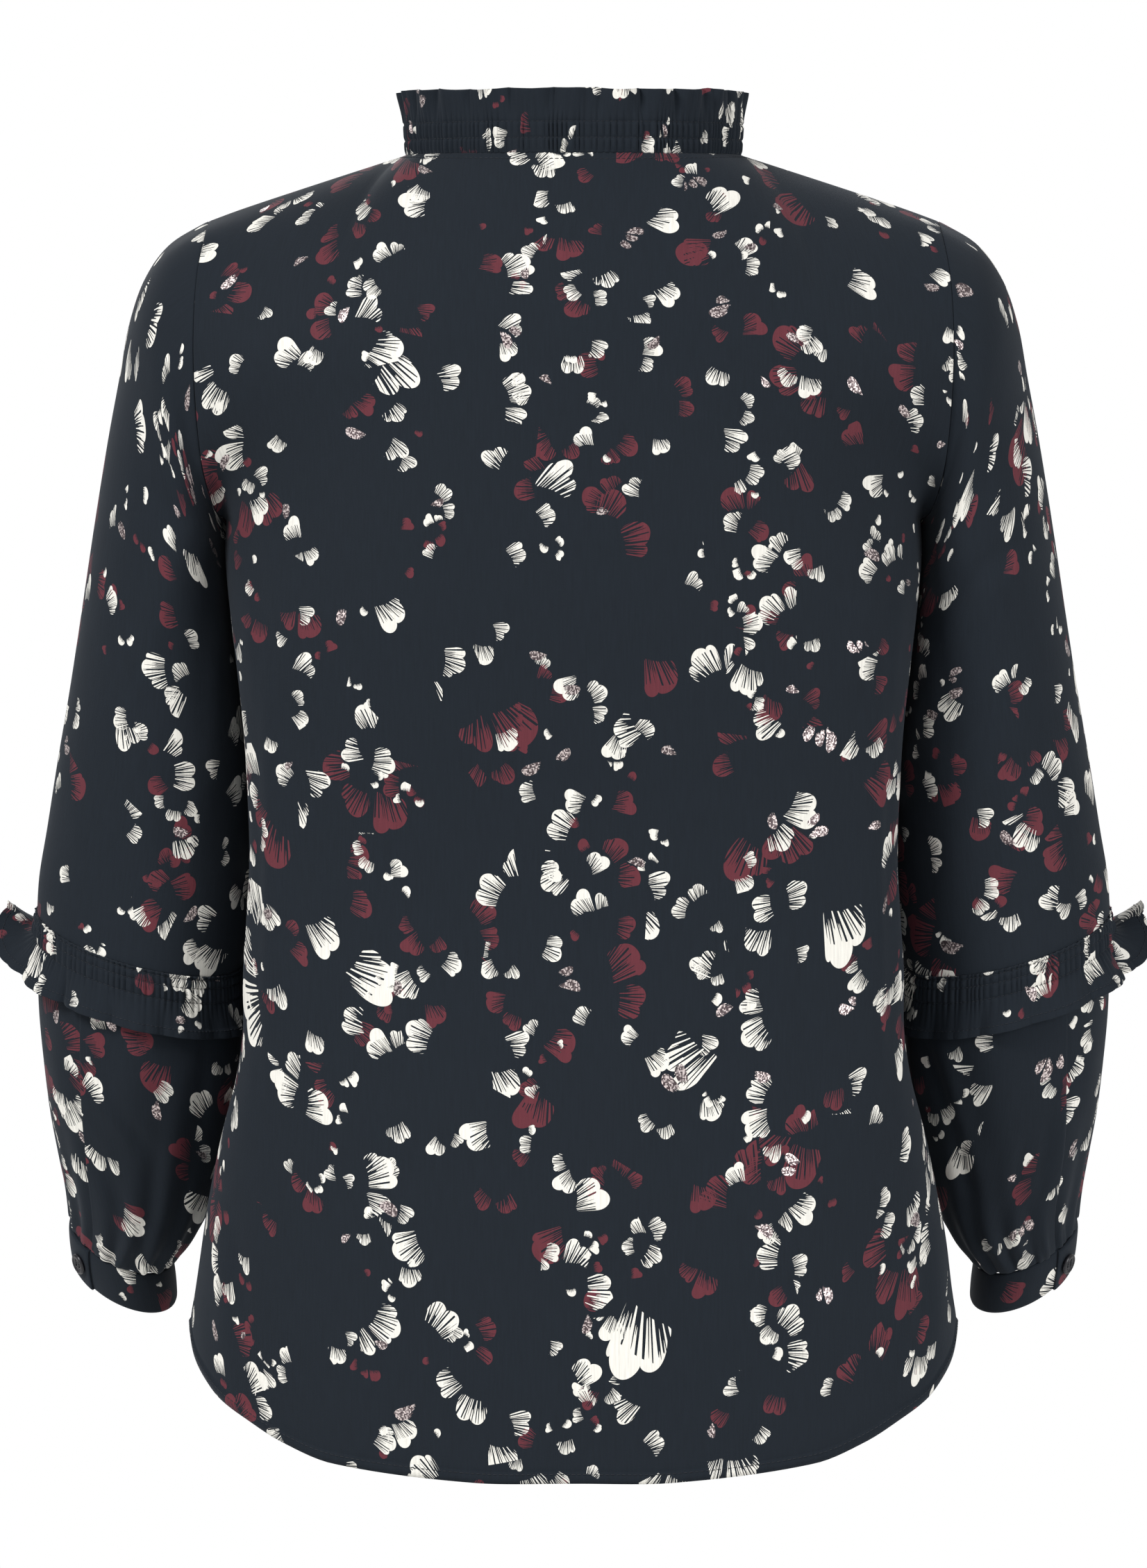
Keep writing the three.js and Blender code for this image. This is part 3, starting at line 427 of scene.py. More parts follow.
def hem_z(face, turn):
    z = read(HEM, "x", np.abs(body_point(face, turn, HEM_SIDE_Z + 0 * turn)[..., 0]), "z")
    return z if face == "back" else HEM_SIDE_Z + (z - HEM_SIDE_Z) * FRONT_HEM_SHARE


def neck_point(angle):
    s, c = np.sin(np.radians(angle)), np.cos(np.radians(angle))
    front = c < 0
    return stack(96 * s, c * np.where(front, 88, 72), 4 - np.where(front, 54 * c * c, 0))


def top_edge(face, t):
    share = np.abs(t)
    turned = 90 * t / NECK_SHARE
    neck = neck_point(turned if face == "back" else 180 - turned)
    x = 96 + 114 * (share - NECK_SHARE) / (1 - NECK_SHARE)
    seam = stack(np.sign(t) * x, 0, read(SHOULDER, "x", x, "z"))
    return np.where((share <= NECK_SHARE)[..., None], neck, seam)


def top_heading(face, t):
    share = np.abs(t)
    sine = np.sin(np.pi / 2 * np.minimum(1, share / NECK_SHARE))
    u = (np.maximum(0, share - NECK_SHARE) / (1 - NECK_SHARE))[..., None]
    at_neck = stack(0.55 * sine, 0.45 + 0.4 * sine**2, 0.9 - 0.6 * sine**2)
    heading = at_neck * (1 - u) + np.array([0, 1, 0.36]) * u
    heading[..., 0] *= -np.sign(t)
    if face == "back":
        heading[..., 1] *= -1
    return unit(heading)


def upper_body_row(face, t, s):
    low = body_point(face, 90 * t, UNDERARM_Z + 0 * t)
    edge = armhole(face, 0.5)
    y, z, bow = CHEST_ROW[face]
    bow = math.radians(bow)
    fall = (1 - np.cos(bow * t)) / (1 - math.cos(bow))
    bowed = edge[0] * np.sin(bow * t) / math.sin(bow)
    middle = stack(bowed, y + (edge[1] - y) * fall, z + (edge[2] - z) * t * t)
    top = top_edge(face, t)
    leave = unit(low - body_point(face, 90 * t, UNDERARM_Z - 5 + 0 * t))
    leave *= np.linalg.norm(middle - low, axis=-1, keepdims=True)
    rise = (0.5 * (top[..., 2] - low[..., 2]))[..., None]
    through = np.array([0, -0.12 if face == "back" else 0.3, 1]) * rise
    if s <= 0.5:
        return hermite(low, leave, middle, through, 2 * s)
    arrive = top_heading(face, t) * np.linalg.norm(middle - top, axis=-1, keepdims=True)
    return hermite(middle, through, top, arrive, 2 * s - 1)


def panel_points(face, t, upper, lower):
    rows = []
    for s in upper:
        pull = armhole(face, s) - upper_body_row(face, np.array([1.0]), s)[0]
        pull = stack(pull[0] * np.sign(t), pull[1], pull[2])
        rows.append(upper_body_row(face, t, s) + pull * (np.abs(t) ** EDGE_HOLD)[..., None])
    for share in lower:
        z = UNDERARM_Z + (hem_z(face, 90 * t) - UNDERARM_Z) * share
        points = body_point(face, 90 * t, z)
        off = (90 * np.abs(t) - 63) / 7
        fold = 2.2 * np.exp(-off * off) * smooth(-600, -460, z) * (1 - smooth(-285, -225, z))
        out = unit(stack(points[..., 0], points[..., 1], 0))
        rows.append(points + out * fold[..., None])
    return np.array(rows)


def grid_normals(points, around, outward):
    if around:
        wide = np.concatenate([points[:, -2:-1], points, points[:, 1:2]], axis=1)
        across = wide[:, 2:] - wide[:, :-2]
    else:
        across = np.gradient(points, axis=1)
    down = np.gradient(points, axis=0)
    return unit(np.cross(down, across)) * outward


# Creases: each is a line over the laid-out cloth, with a height (a valley is below zero) and a
# half-width, and dies away at both ends.
def creases(u, v, lines):
    total = np.zeros(np.broadcast(u, v).shape)
    for (u0, v0), (u1, v1), height, spread in lines:
        run = np.array([u1 - u0, v1 - v0], float)
        length = np.hypot(*run)
        along = ((u - u0) * run[0] + (v - v0) * run[1]) / length**2
        off = ((u - u0) * run[1] - (v - v0) * run[0]) / length
        total += height * np.exp(-((off / spread) ** 2)) * np.sin(np.pi * np.clip(along, 0, 1)) ** 0.7
    return total


def lay_out(points):
    across = np.linalg.norm(np.diff(points, axis=1), axis=2)
    u = np.concatenate([np.zeros((len(points), 1)), np.cumsum(across, axis=1)], axis=1)
    u -= u[:, -1:] / 2
    down = np.linalg.norm(np.diff(points, axis=0), axis=2).mean(axis=1)
    v = -np.concatenate([[0], np.cumsum(down)])
    return u, np.repeat(v[:, None], points.shape[1], axis=1)


def lay_strip(columns, heights, flat_length):
    """A gathered strip laid flat, as it was cut and printed."""
    u = np.tile(np.linspace(-0.5, 0.5, columns) * flat_length, (len(heights), 1))
    return u, np.repeat(np.asarray(heights)[:, None], columns, axis=1)


def run_down(points):
    steps = np.linalg.norm(np.diff(points, axis=0), axis=2)
    return np.concatenate([np.zeros((1, points.shape[1])), np.cumsum(steps, axis=0)])


def new_piece(name, points, faces, bakes, maps, materials):
    """A smooth mesh from points in millimetres, with its two layouts, riding on the blouse."""
    mesh = bpy.data.meshes.new(name)
    mesh.from_pydata((points / 1000).tolist(), [], faces.tolist())
    for label, values in (("OFBake", bakes), ("cloth", maps)):
        mesh.uv_layers.new(name=label).data.foreach_set("uv", values.astype(np.float32).ravel())
    for material in materials:
        mesh.materials.append(material)
    mesh.polygons.foreach_set("use_smooth", np.ones(len(faces), bool))
    mesh.update()
    piece = bpy.data.objects.new(name, mesh)
    bpy.context.collection.objects.link(piece)
    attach(piece, "root")
    return piece


def sew_shell(name, points, outward, laid, thickness=0.6, around=False, origin=(0, 0)):
    """One piece of cloth with both its faces; on a tube the last column repeats the first."""
    rows, columns = points.shape[:2]
    normals = grid_normals(points, around, outward)
    inner = points - normals * (thickness[..., None] if np.ndim(thickness) else thickness)
    used = columns - 1 if around else columns
    number = np.arange(rows * used).reshape(rows, used)
    number = np.concatenate([number, number[:, :1]], axis=1) if around else number
    low = number + rows * used
    vertices = np.concatenate([points[:, :used].reshape(-1, 3), inner[:, :used].reshape(-1, 3)])
    i, j = np.mgrid[0:rows, 0:columns]
    chart = np.stack([0.005 + 0.485 * j / (columns - 1), 0.01 + 0.97 * i / (rows - 1)], axis=-1)
    cloth = np.stack([laid[0] + origin[0], laid[1] + origin[1]], axis=-1) / 1000

    def corners(grid):
        around_quad = (grid[:-1, :-1], grid[1:, :-1], grid[1:, 1:], grid[:-1, 1:])
        return np.stack([c.reshape(-1, *grid.shape[2:]) for c in around_quad], axis=1)

    faces = [corners(number), corners(low)[:, ::-1]]
    maps = [corners(cloth), corners(cloth)[:, ::-1]]
    bakes = [corners(chart), corners(chart)[:, ::-1] + np.array([0.505, 0])]
    backward = slice(None, None, -1)
    edges = [(0, slice(None)), (-1, backward), (backward, 0), (slice(None), -1)]
    for k, edge in enumerate(edges[:2] if around else edges):
        top, bottom, place_on = number[edge], low[edge], cloth[edge]
        y = np.linspace(0.01, 0.98, len(top))
        strip = [np.stack([0 * y + 0.4915 + 0.003 * k + wide, y], axis=1) for wide in (0, 0.002)]
        faces.append(np.stack([top[:-1], top[1:], bottom[1:], bottom[:-1]], axis=1))
        maps.append(np.stack([place_on[:-1], place_on[1:], place_on[1:], place_on[:-1]], axis=1))
        bakes.append(np.stack([strip[0][:-1], strip[0][1:], strip[1][1:], strip[1][:-1]], axis=1))
    kinds = np.concatenate([np.full(len(part), k == 1, np.int32) for k, part in enumerate(faces)])
    faces, maps, bakes = (np.concatenate(part) for part in (faces, maps, bakes))
    if outward < 0:
        faces, maps, bakes = faces[:, ::-1], maps[:, ::-1], bakes[:, ::-1]
    piece = new_piece(name, vertices, faces, bakes, maps, (crepe_face, crepe_reverse))
    piece.data.uv_layers["OFBake"].active_render = True
    piece.data.polygons.foreach_set("material_index", kinds)
    piece.data.update()
    return piece


# A seam: both its pieces roll inward over the last two millimetres and meet below the surface.
def seam_dip(distance):
    return -0.35 * np.exp(-((distance / 2.2) ** 2)) - 1.3 * np.exp(-((distance / 0.35) ** 2))


# Matt navy polyester thread, lying in short stitches on the cloth. Its colour is painted darker in the
# grooves of its twist and lighter on the ridges: painted shade and highlight, beside the twist's real bump.
thread, tree = empty_material("navy sewing thread")
twist_and_groove_shade = node(
    tree,
    "ShaderNodeTexWave",
    {"Vector": node(tree, "ShaderNodeUVMap", uv_map="cloth").outputs[0], "Scale": 0.9, "Distortion": 0.6},
    bands_direction="DIAGONAL",
).outputs[1]
cover = node(
    tree,
    "ShaderNodeBsdfPrincipled",
    {
        # Painted shade: the base colour is darker in the twist's grooves and lighter on its ridges.
        "Base Color": mix(tree, twist_and_groove_shade, (0.005, 0.007, 0.011, 1), (0.016, 0.022, 0.032, 1)),
        "Roughness": 0.6,
        "Normal": node(
            tree, "ShaderNodeBump", {"Height": twist_and_groove_shade, "Strength": 0.4, "Distance": 0.0001}
        ).outputs[0],
    },
)
node(tree, "ShaderNodeOutputMaterial", {"Surface": cover.outputs[0]})


def sew_stitches(name, lines, length=2.3, gap=0.9, width=0.45):
    """A piece of thread for each stitch along each line of (points, normals)."""
    vertices, faces = [], []
    for points, normals in lines:
        steps = np.linalg.norm(np.diff(points, axis=0), axis=1)
        run = np.concatenate([[0], np.cumsum(steps)])
        count = max(1, int((run[-1] + gap) / (length + gap)))
        start = (run[-1] - (count * (length + gap) - gap)) / 2 + np.arange(count) * (length + gap)
        for share, half, lift in ((0, 0.5, 0.0), (0.25, 1, 0.24), (0.75, 1, 0.24), (1, 0.5, 0.0)):
            at = start + share * length
            middle = np.stack([np.interp(at, run, points[:, k]) for k in range(3)], axis=1)
            ahead = np.stack([np.interp(at + 0.3, run, points[:, k]) for k in range(3)], axis=1)
            behind = np.stack([np.interp(at - 0.3, run, points[:, k]) for k in range(3)], axis=1)
            up = unit(np.stack([np.interp(at, run, normals[:, k]) for k in range(3)], axis=1))
            side = unit(np.cross(up, ahead - behind))
            middle = middle + up * lift
            ring = [middle + (side * a + up * b) * half * width / 2
                    for a, b in ((1, 0), (0, 1), (-1, 0), (0, -1))]
            vertices.append(np.stack(ring, axis=1))
        made = sum(len(f) for f in faces) // 14
        first = made * 16 + 16 * np.arange(count)[:, None]
        ring = np.array([0, 1, 2, 3])
        following = np.roll(ring, -1)
        sides = [np.stack([ring + 4 * k, ring + 4 * k + 4, following + 4 * k + 4, following + 4 * k], axis=1)
                 for k in range(3)]
        caps = np.array([[0, 1, 2, 3], [15, 14, 13, 12]])
        pattern = np.concatenate(sides + [caps])
        faces.append((first[:, :, None] + pattern[None]).reshape(-1, 4))
        block = np.stack(vertices[-4:], axis=1).reshape(-1, 3)
        vertices[-4:] = [block]
    vertices = np.concatenate(vertices)
    faces = np.concatenate(faces)
    count = len(faces) // 14
    across = math.ceil(math.sqrt(count))
    cell = np.arange(count)
    corner = np.stack([cell % across, cell // across], axis=1) / across
    tile = np.array([[0, 0], [0, 1], [1, 1], [1, 0]]) * 0.2
    inside = np.array([[0.25 * (k % 4), 0.25 * (k // 4)] for k in range(14)]) + 0.02
    bakes = corner[:, None, None] + (inside[None, :, None] + tile[None, None]) / across
    turned = np.tile(np.array([[0, 0], [0, 1], [1, 1], [1, 0]], float), (count * 14, 1, 1))
    return new_piece(name, vertices, faces, bakes, turned, (thread,))


def line_on(points, normals, row, lift=0.0):
    """The line over a piece at a row number that may lie between two rows."""
    low = int(row)
    share = row - low
    high = min(low + 1, len(points) - 1)
    line = points[low] * (1 - share) + points[high] * share
    up = unit(normals[low] * (1 - share) + normals[high] * share)
    return line + up * lift, up


# Columns and rows of a panel, closer together along its seams and its turned hem.
half_t = np.concatenate([np.linspace(0, 0.97, 62), [0.978, 0.985, 0.9915, 0.9965, 1]])
PANEL_T = np.concatenate([-half_t[:0:-1], half_t])
PANEL_UPPER = np.concatenate([[1, 0.9965, 0.992, 0.985, 0.975], np.linspace(0.96, 0, 34)])
PANEL_LOWER = np.concatenate([np.linspace(0, 0.975, 74)[1:], [0.982, 0.9865, 0.988, 0.9895, 0.994, 1]])
HEM_WIDTH = 6.2


def panel(face, lines):
    outward = -1 if face == "back" else 1
    points = panel_points(face, PANEL_T, PANEL_UPPER, PANEL_LOWER)
    laid = lay_out(points)
    u = laid[0]
    down = run_down(points)
    to_hem = down[-1] - down
    lift = creases(points[..., 0], points[..., 2], lines)
    underarm = smooth(UNDERARM_Z - 30, UNDERARM_Z - 4, points[..., 2])
    lift += (seam_dip(u - u[:, :1]) + seam_dip(u[:, -1:] - u)) * (1 - 0.9 * underarm) + seam_dip(down)
    turned = 1 - smooth(HEM_WIDTH - 0.6, HEM_WIDTH + 0.6, to_hem)
    lift += 0.45 * turned - 0.35 * np.exp(-((to_hem / 0.9) ** 2))
    lift -= 0.28 * np.exp(-(((to_hem - HEM_WIDTH - 0.4) / 0.8) ** 2))
    points = points + grid_normals(points, False, outward) * lift[..., None]
    return points, laid, 0.6 + 0.8 * turned, down


def panel_stitches(points, down, outward, neck_drop):
    """The hem's stitching and, on the neckline, the row that holds the collar's seam flat."""
    normals = grid_normals(points, False, outward)
    middle = points.shape[1] // 2
    reach = down[-1] - down
    hem_row = np.interp(HEM_WIDTH - 0.9, reach[::-1, middle], np.arange(len(points))[::-1])
    neck_row = np.interp(neck_drop, down[:, middle], np.arange(len(points)))
    lines = [line_on(points, normals, hem_row)]
    line, up = line_on(points, normals, neck_row)
    kept = np.abs(PANEL_T) <= NECK_SHARE + 0.01
    return lines + [(line[kept], up[kept])]


BACK_CREASES = [
    ((-126, -380), (-134, -560), -0.9, 5), ((-119, -400), (-124, -600), 0.8, 8),
    ((176, -230), (150, -330), 1.6, 12), ((188, -215), (172, -290), -1.5, 7),
    ((-178, -230), (-156, -318), 1.5, 12), ((-189, -214), (-176, -280), -1.5, 7),
    ((182, -250), (181, -560), -1.5, 4), ((-181, -240), (-182, -575), -1.6, 4),
    ((204, -596), (198, -684), 1.5, 6), ((196, -600), (188, -690), -1.3, 6),
    ((-212, -598), (-208, -682), 1.5, 6), ((-203, -602), (-199, -690), -1.3, 6),
    ((120, -590), (128, -740), 1.2, 18), ((-70, -610), (-84, -750), 1.2, 20),
    ((-150, -600), (-164, -730), -1.1, 15), ((10, -650), (6, -756), 0.9, 24),
    ((150, -36), (118, -100), -0.9, 13), ((-148, -36), (-112, -108), -1.0, 13),
    ((60, -22), (90, -96), 0.6, 12), ((-56, -24), (-92, -90), 0.7, 12),
]
points, laid, thickness, down = panel("back", BACK_CREASES)
back = sew_shell("blouse_back", points, -1, laid, thickness)
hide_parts("back")
sew_stitches("stitches_back", panel_stitches(points, down, -1, 5.2))

# Front: one panel like the back, with a lower neckline and a slightly shorter hem. It is plain,
# with no opening: the shirred collar stretches over the head.

FRONT_CREASES = [
    ((180, -224), (120, -300), 1.6, 13), ((188, -214), (150, -290), -1.5, 8),
    ((-182, -226), (-118, -290), 1.5, 13), ((-189, -216), (-146, -300), -1.5, 8),
    ((120, -280), (132, -520), 1.2, 14), ((-116, -300), (-130, -560), 1.3, 15),
    ((182, -260), (184, -560), -1.4, 4), ((-183, -250), (-182, -540), -1.5, 4),
    ((60, -360), (70, -620), -0.9, 20), ((-64, -340), (-70, -600), -0.9, 19),
    ((100, -540), (112, -722), 1.2, 16), ((-96, -560), (-110, -724), 1.2, 17),
    ((10, -480), (4, -730), 0.9, 24), ((160, -540), (172, -700), -1.2, 13),
    ((-158, -530), (-168, -700), -1.2, 13), ((100, -60), (60, -140), -0.8, 14),
    ((-96, -58), (-64, -150), -0.9, 14),
]
points, laid, thickness, down = panel("front", FRONT_CREASES)
front = sew_shell("blouse_front", points, 1, laid, thickness, origin=(430, 260))
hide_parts("front")
sew_stitches("stitches_front", panel_stitches(points, down, 1, 5.2))

# Upper sleeves: one piece each, set into the armhole without gathers, seamed under the arm and
# ending in the shirred elbow seam. Soft folds run down and outward from the armpit.

UPPER_SLEEVE = dict(
    ring=list(range(13)),
    outer_x=[210, 233, 247.5, 256.5, 262, 269, 277, 285, 291.5, 298, 304, 308.5, 310],
    outer_z=[-34, -48, -68, -94, -124, -162, -212, -266, -308, -346, -384, -411, -433],
    inner_x=[200, 200.3, 200.5, 200.6, 200.3, 198.8, 196.3, 191.2, 186.6, 184.6, 184, 185.8, 190.7],
    inner_z=[-207, -211, -216, -222, -230, -242, -262, -294, -331, -366, -401, -434, -463],
    y=[-5, -9, -12, -15, -17, -18.5, -20, -21.5, -23, -25, -27, -28, -28.5],
    depth=[63, 65, 67, 68, 68, 67, 65, 63, 61.5, 60, 59, 58, 57],
    dip=[0, 1, 2, 3, 4, 6, 8, 10, 12, 14, 16, 17.5, 18.5],
    pull=[1, 0.78, 0.5, 0.27, 0.1, 0, 0, 0, 0, 0, 0, 0, 0],
)
SLEEVE_FOLDS = (
    (2.5, 148, 8, 62, 2.6, 13),
    (4, 158, 10, 112, 2.2, 12),
    (2.5, 214, 8, 296, 2.4, 13),
    (4, 204, 10.5, 250, 2, 12),
)
ELBOW_ROW = 12


def ring_point(table, row, angle):
    outer_x, outer_z, inner_x, inner_z, y, depth, dip = (
        read(table, "ring", row, column)
        for column in ("outer_x", "outer_z", "inner_x", "inner_z", "y", "depth", "dip")
    )
    c, s = np.cos(np.radians(angle)), np.sin(np.radians(angle))
    lean = np.radians(dip)
    x = (outer_x + inner_x) / 2 + c * (outer_x - inner_x) / 2
    z = (outer_z + inner_z) / 2 + c * (outer_z - inner_z) / 2
    return stack(x, y + depth * s * np.cos(lean), z - depth * s * np.sin(lean))


def ring_down(table, row):
    across = ring_point(table, row, 0) - ring_point(table, row, 180)
    back = ring_point(table, row, 90) - ring_point(table, row, 270)
    return unit(np.cross(back, across))


def ring_out(table, row, angle, down):
    along = ring_point(table, row, angle + 0.5) - ring_point(table, row, angle - 0.5)
    return unit(-np.cross(along, down))


def sleeve_fold(row, angle):
    height = 0
    for from_row, from_angle, to_row, to_angle, rise, spread in SLEEVE_FOLDS:
        u = np.clip((row - from_row) / (to_row - from_row), 0, 1)
        off = (angle - (from_angle + (to_angle - from_angle) * u)) / spread
        height = height + rise * np.sin(np.pi * u) * np.exp(-off * off)
    return height


def upper_sleeve_points(rows, angles):
    turned = angles % 360
    held = np.where(
        (turned <= 180)[:, None],
        armhole("back", 1 - np.minimum(turned, 180) / 180),
        armhole("front", (np.maximum(turned, 180) - 180) / 180),
    )
    move = held - ring_point(UPPER_SLEEVE, 0, turned)
    made = []
    for row in rows:
        pull = read(UPPER_SLEEVE, "ring", row, "pull")
        out = ring_out(UPPER_SLEEVE, row, turned, ring_down(UPPER_SLEEVE, row))
        fold = (sleeve_fold(row, turned) if row > 0 else 0 * turned)[:, None]
        made.append(ring_point(UPPER_SLEEVE, row, turned) + move * pull + out * fold)
    return np.array(made)


def one_side(points, angles, lines, back):
    """Creases drawn as seen from the back or the front, on that half of a tube only."""
    facing = np.sin(np.radians(angles)) * (1 if back else -1)
    return creases(points[..., 0], points[..., 2], lines) * smooth(0.02, 0.35, facing)


def mirrored(points):
    return points * np.array([-1, 1, 1])


SLEEVE_ROWS = np.concatenate([[0, 0.035, 0.09, 0.18], np.linspace(0.3, 11.7, 92), [11.82, 11.91, 11.97, 12]])
SLEEVE_ANGLES = 180 + np.linspace(0, 360, 121)
SLEEVE_CREASES = dict(
    L=dict(
        back=[
            ((230, -96), (214, -210), -1.8, 6), ((240, -100), (224, -205), 1.4, 8),
            ((256, -170), (208, -236), -1.5, 7), ((262, -196), (214, -262), 1.4, 9),
            ((262, -250), (206, -300), -1.2, 9), ((276, -300), (224, -380), 1.2, 14),
            ((236, -330), (228, -430), -1.1, 9), ((286, -360), (280, -424), 0.9, 9),
            ((262, -380), (256, -440), -0.9, 8),
        ],
        front=[
            ((232, -100), (214, -205), -1.6, 7), ((258, -180), (210, -240), -1.4, 8),
            ((266, -230), (214, -290), 1.5, 11), ((250, -330), (238, -430), -1.2, 11),
            ((284, -330), (276, -410), 1.1, 12),
        ],
    ),
    R=dict(
        back=[
            ((226, -100), (212, -196), -1.8, 6), ((236, -104), (222, -206), 1.5, 8),
            ((264, -208), (202, -266), -2.2, 6), ((268, -222), (208, -282), 1.7, 8),
            ((250, -168), (206, -226), -1.2, 7), ((272, -290), (222, -372), 1.1, 13),
            ((244, -340), (240, -440), -1.2, 10), ((290, -350), (284, -420), 0.9, 9),
            ((216, -380), (212, -450), 1.0, 8),
        ],
        front=[
            ((230, -104), (214, -208), -1.6, 7), ((262, -190), (208, -246), -1.5, 8),
            ((264, -240), (212, -300), 1.4, 11), ((256, -340), (246, -436), -1.1, 11),
            ((282, -320), (272, -400), 1.1, 12),
        ],
    ),
)

upper = upper_sleeve_points(SLEEVE_ROWS, SLEEVE_ANGLES)
for side, sign in (("L", 1), ("R", -1)):
    drawn = SLEEVE_CREASES[side]
    down = run_down(upper)
    lift = one_side(upper, SLEEVE_ANGLES, drawn["back"], True)
    lift += one_side(upper, SLEEVE_ANGLES, drawn["front"], False)
    underarm = np.abs(SLEEVE_ANGLES - 360) - 180
    armpit = np.exp(-((underarm / 26) ** 2))
    lift += seam_dip(down) * (1 - armpit) + seam_dip(down[-1] - down)
    lift += armpit * (1.1 * np.exp(-(((down - 14) / 13) ** 2)) - 0.5 * np.exp(-((underarm / 1.2) ** 2)))
    points = upper + grid_normals(upper, True, 1) * lift[..., None]
    laid = lay_out(upper)
    points = points if side == "L" else mirrored(points)
    piece = sew_shell(f"sleeve_upper_{side}_cloth", points, sign, laid, around=True, origin=(900 * sign, 100))
    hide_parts(f"sleeve_upper_{side}")

# Collar: a doubled strip of crepe, folded along its top edge and drawn up on two rows of elastic
# thread into fine gathers. It is sewn to the neckline and stands, its top left as a loose frill.

COLLAR = dict(flat=900, height=36, strip=17, lean=0.06, gathers=165, waves=24, wave=3.1, relief=1.5)
COLLAR_ROWS = (7.7, 17)
COLLAR_HEIGHTS = np.array(
    [-1.2, 0, 0.6, 1.4, 2.6, 4.2, 5.8, 6.8, 7.3, 7.7, 8.1, 8.7, 10, 12.3, 14.6, 15.8, 16.5, 17, 17.5, 18.4,
     20, 22.4, 25.2, 28, 30.6, 33, 34.8, 35.7, 36]
)


def wander(angle, seed):
    a = np.radians(angle)
    return 0.5 * np.sin(3 * a + seed) + 0.3 * np.sin(7 * a + 2.1 * seed)


def neck_frame(angle):
    along = unit(neck_point(angle + 0.5) - neck_point(angle - 0.5))
    x, y, z = along[..., 0], along[..., 1], along[..., 2]
    up = unit(stack(-x * z, -y * z, 1 - z * z))
    return up, np.cross(up, along)


def uneven_gathers(count, per_gather, seed, start):
    """The angle of each column and how high it rides, for gathers of uneven width and height."""
    chance = np.random.default_rng(seed)
    width = chance.uniform(0.6, 1.4, count)
    edge = np.concatenate([[0], np.cumsum(width)]) * 360 / width.sum()
    place = np.linspace(0, count, count * per_gather + 1)
    tall = chance.uniform(0.55, 1.25, count)
    which = np.minimum(place.astype(int), count - 1)
    ride = np.abs(np.sin(np.pi * place)) ** 0.75 * tall[which]
    return start + np.interp(place, np.arange(count + 1), edge), ride


def cusped(turn):
    """A wave with broad crests and narrow valleys."""
    return 2 * np.abs(np.cos(turn / 2)) ** 0.75 - 1


def pinch(heights, rows, reach=0.85):
    return 1 - 0.62 * sum(np.exp(-(((heights - row) / reach) ** 2)) for row in rows)


angles, ride = uneven_gathers(COLLAR["gathers"], 6, 12, 90)
up, out = neck_frame(angles)
grid = []
for height in COLLAR_HEIGHTS:
    share = max(0, height - COLLAR["strip"]) / (COLLAR["height"] - COLLAR["strip"])
    fine = pinch(height, COLLAR_ROWS) * (1 - 0.45 * math.exp(-max(height, 0) ** 2 / 1.5))
    fine *= math.exp(-max(0, height - COLLAR["strip"]) / 4.5)
    a = np.radians(angles)
    wave = COLLAR["wave"] * (1 + 0.35 * wander(angles, 3))
    wave *= cusped(COLLAR["waves"] * a + 0.9 * wander(angles, 8))
    wave += 0.8 * cusped(61 * a + 2 * wander(angles, 2)) * (0.6 + 0.4 * np.sin(5 * a))
    move = COLLAR["lean"] * height + wave * share**0.85 + COLLAR["relief"] * ride * fine
    move += 0.5 * share * np.sin(37 * a + 1.3)
    if height > 33:
        move = move - 0.25 * ((height - 33) / 3) ** 2
    rise = height + 0.7 * share * wander(2 * angles, 1) - (0.35 * share * cusped(COLLAR["waves"] * a))
    base = neck_point(angles + 1.1 * share * wander(angles, 5))
    grid.append(base + up * rise[:, None] + out * move[:, None])
points = np.array(grid)
laid = lay_strip(len(angles), COLLAR_HEIGHTS, COLLAR["flat"])
collar = sew_shell("collar_cloth", points, 1, laid, 1.0, around=True, origin=(300, 900))
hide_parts("collar")
normals = grid_normals(points, True, 1)
rows = [np.interp(h, COLLAR_HEIGHTS, np.arange(len(COLLAR_HEIGHTS))) for h in COLLAR_ROWS]
lines = [line_on(points, normals, row) for row in rows]
sew_stitches("stitches_collar", lines, length=1.9, gap=0.8, width=0.4)

# Elbow ruffles: a strip of crepe drawn up on three rows of elastic thread over the elbow seam,
# its lower part left as a frill with a narrow turned hem. It flares to the outer side.

RUFFLE = dict(flat=550, width=35, strip=14, gathers=105, waves=12, relief=1.5)
RUFFLE_ROWS = (0.6, 5.6, 14)
FRILL_HEM = 5.5
RUFFLE_HEIGHTS = np.array(
    [-1.2, -0.4, 0.2, 0.6, 1, 1.8, 3.2, 4.6, 5.2, 5.6, 6, 6.6, 8.2, 10, 11.8, 13, 13.5, 14, 14.5, 15.4, 17,
     19.2, 21.6, 24, 26.4, 28.4, 29.2, 29.7, 30.3, 31.6, 33.4, 34.6, 35]
)
ELBOW_AXIS = unit(np.array([0, -0.17, -0.985]))


def frill_stand(angle):
    return 4.3 + 8.4 * np.maximum(0, np.cos(np.radians(angle + 18))) ** 1.4


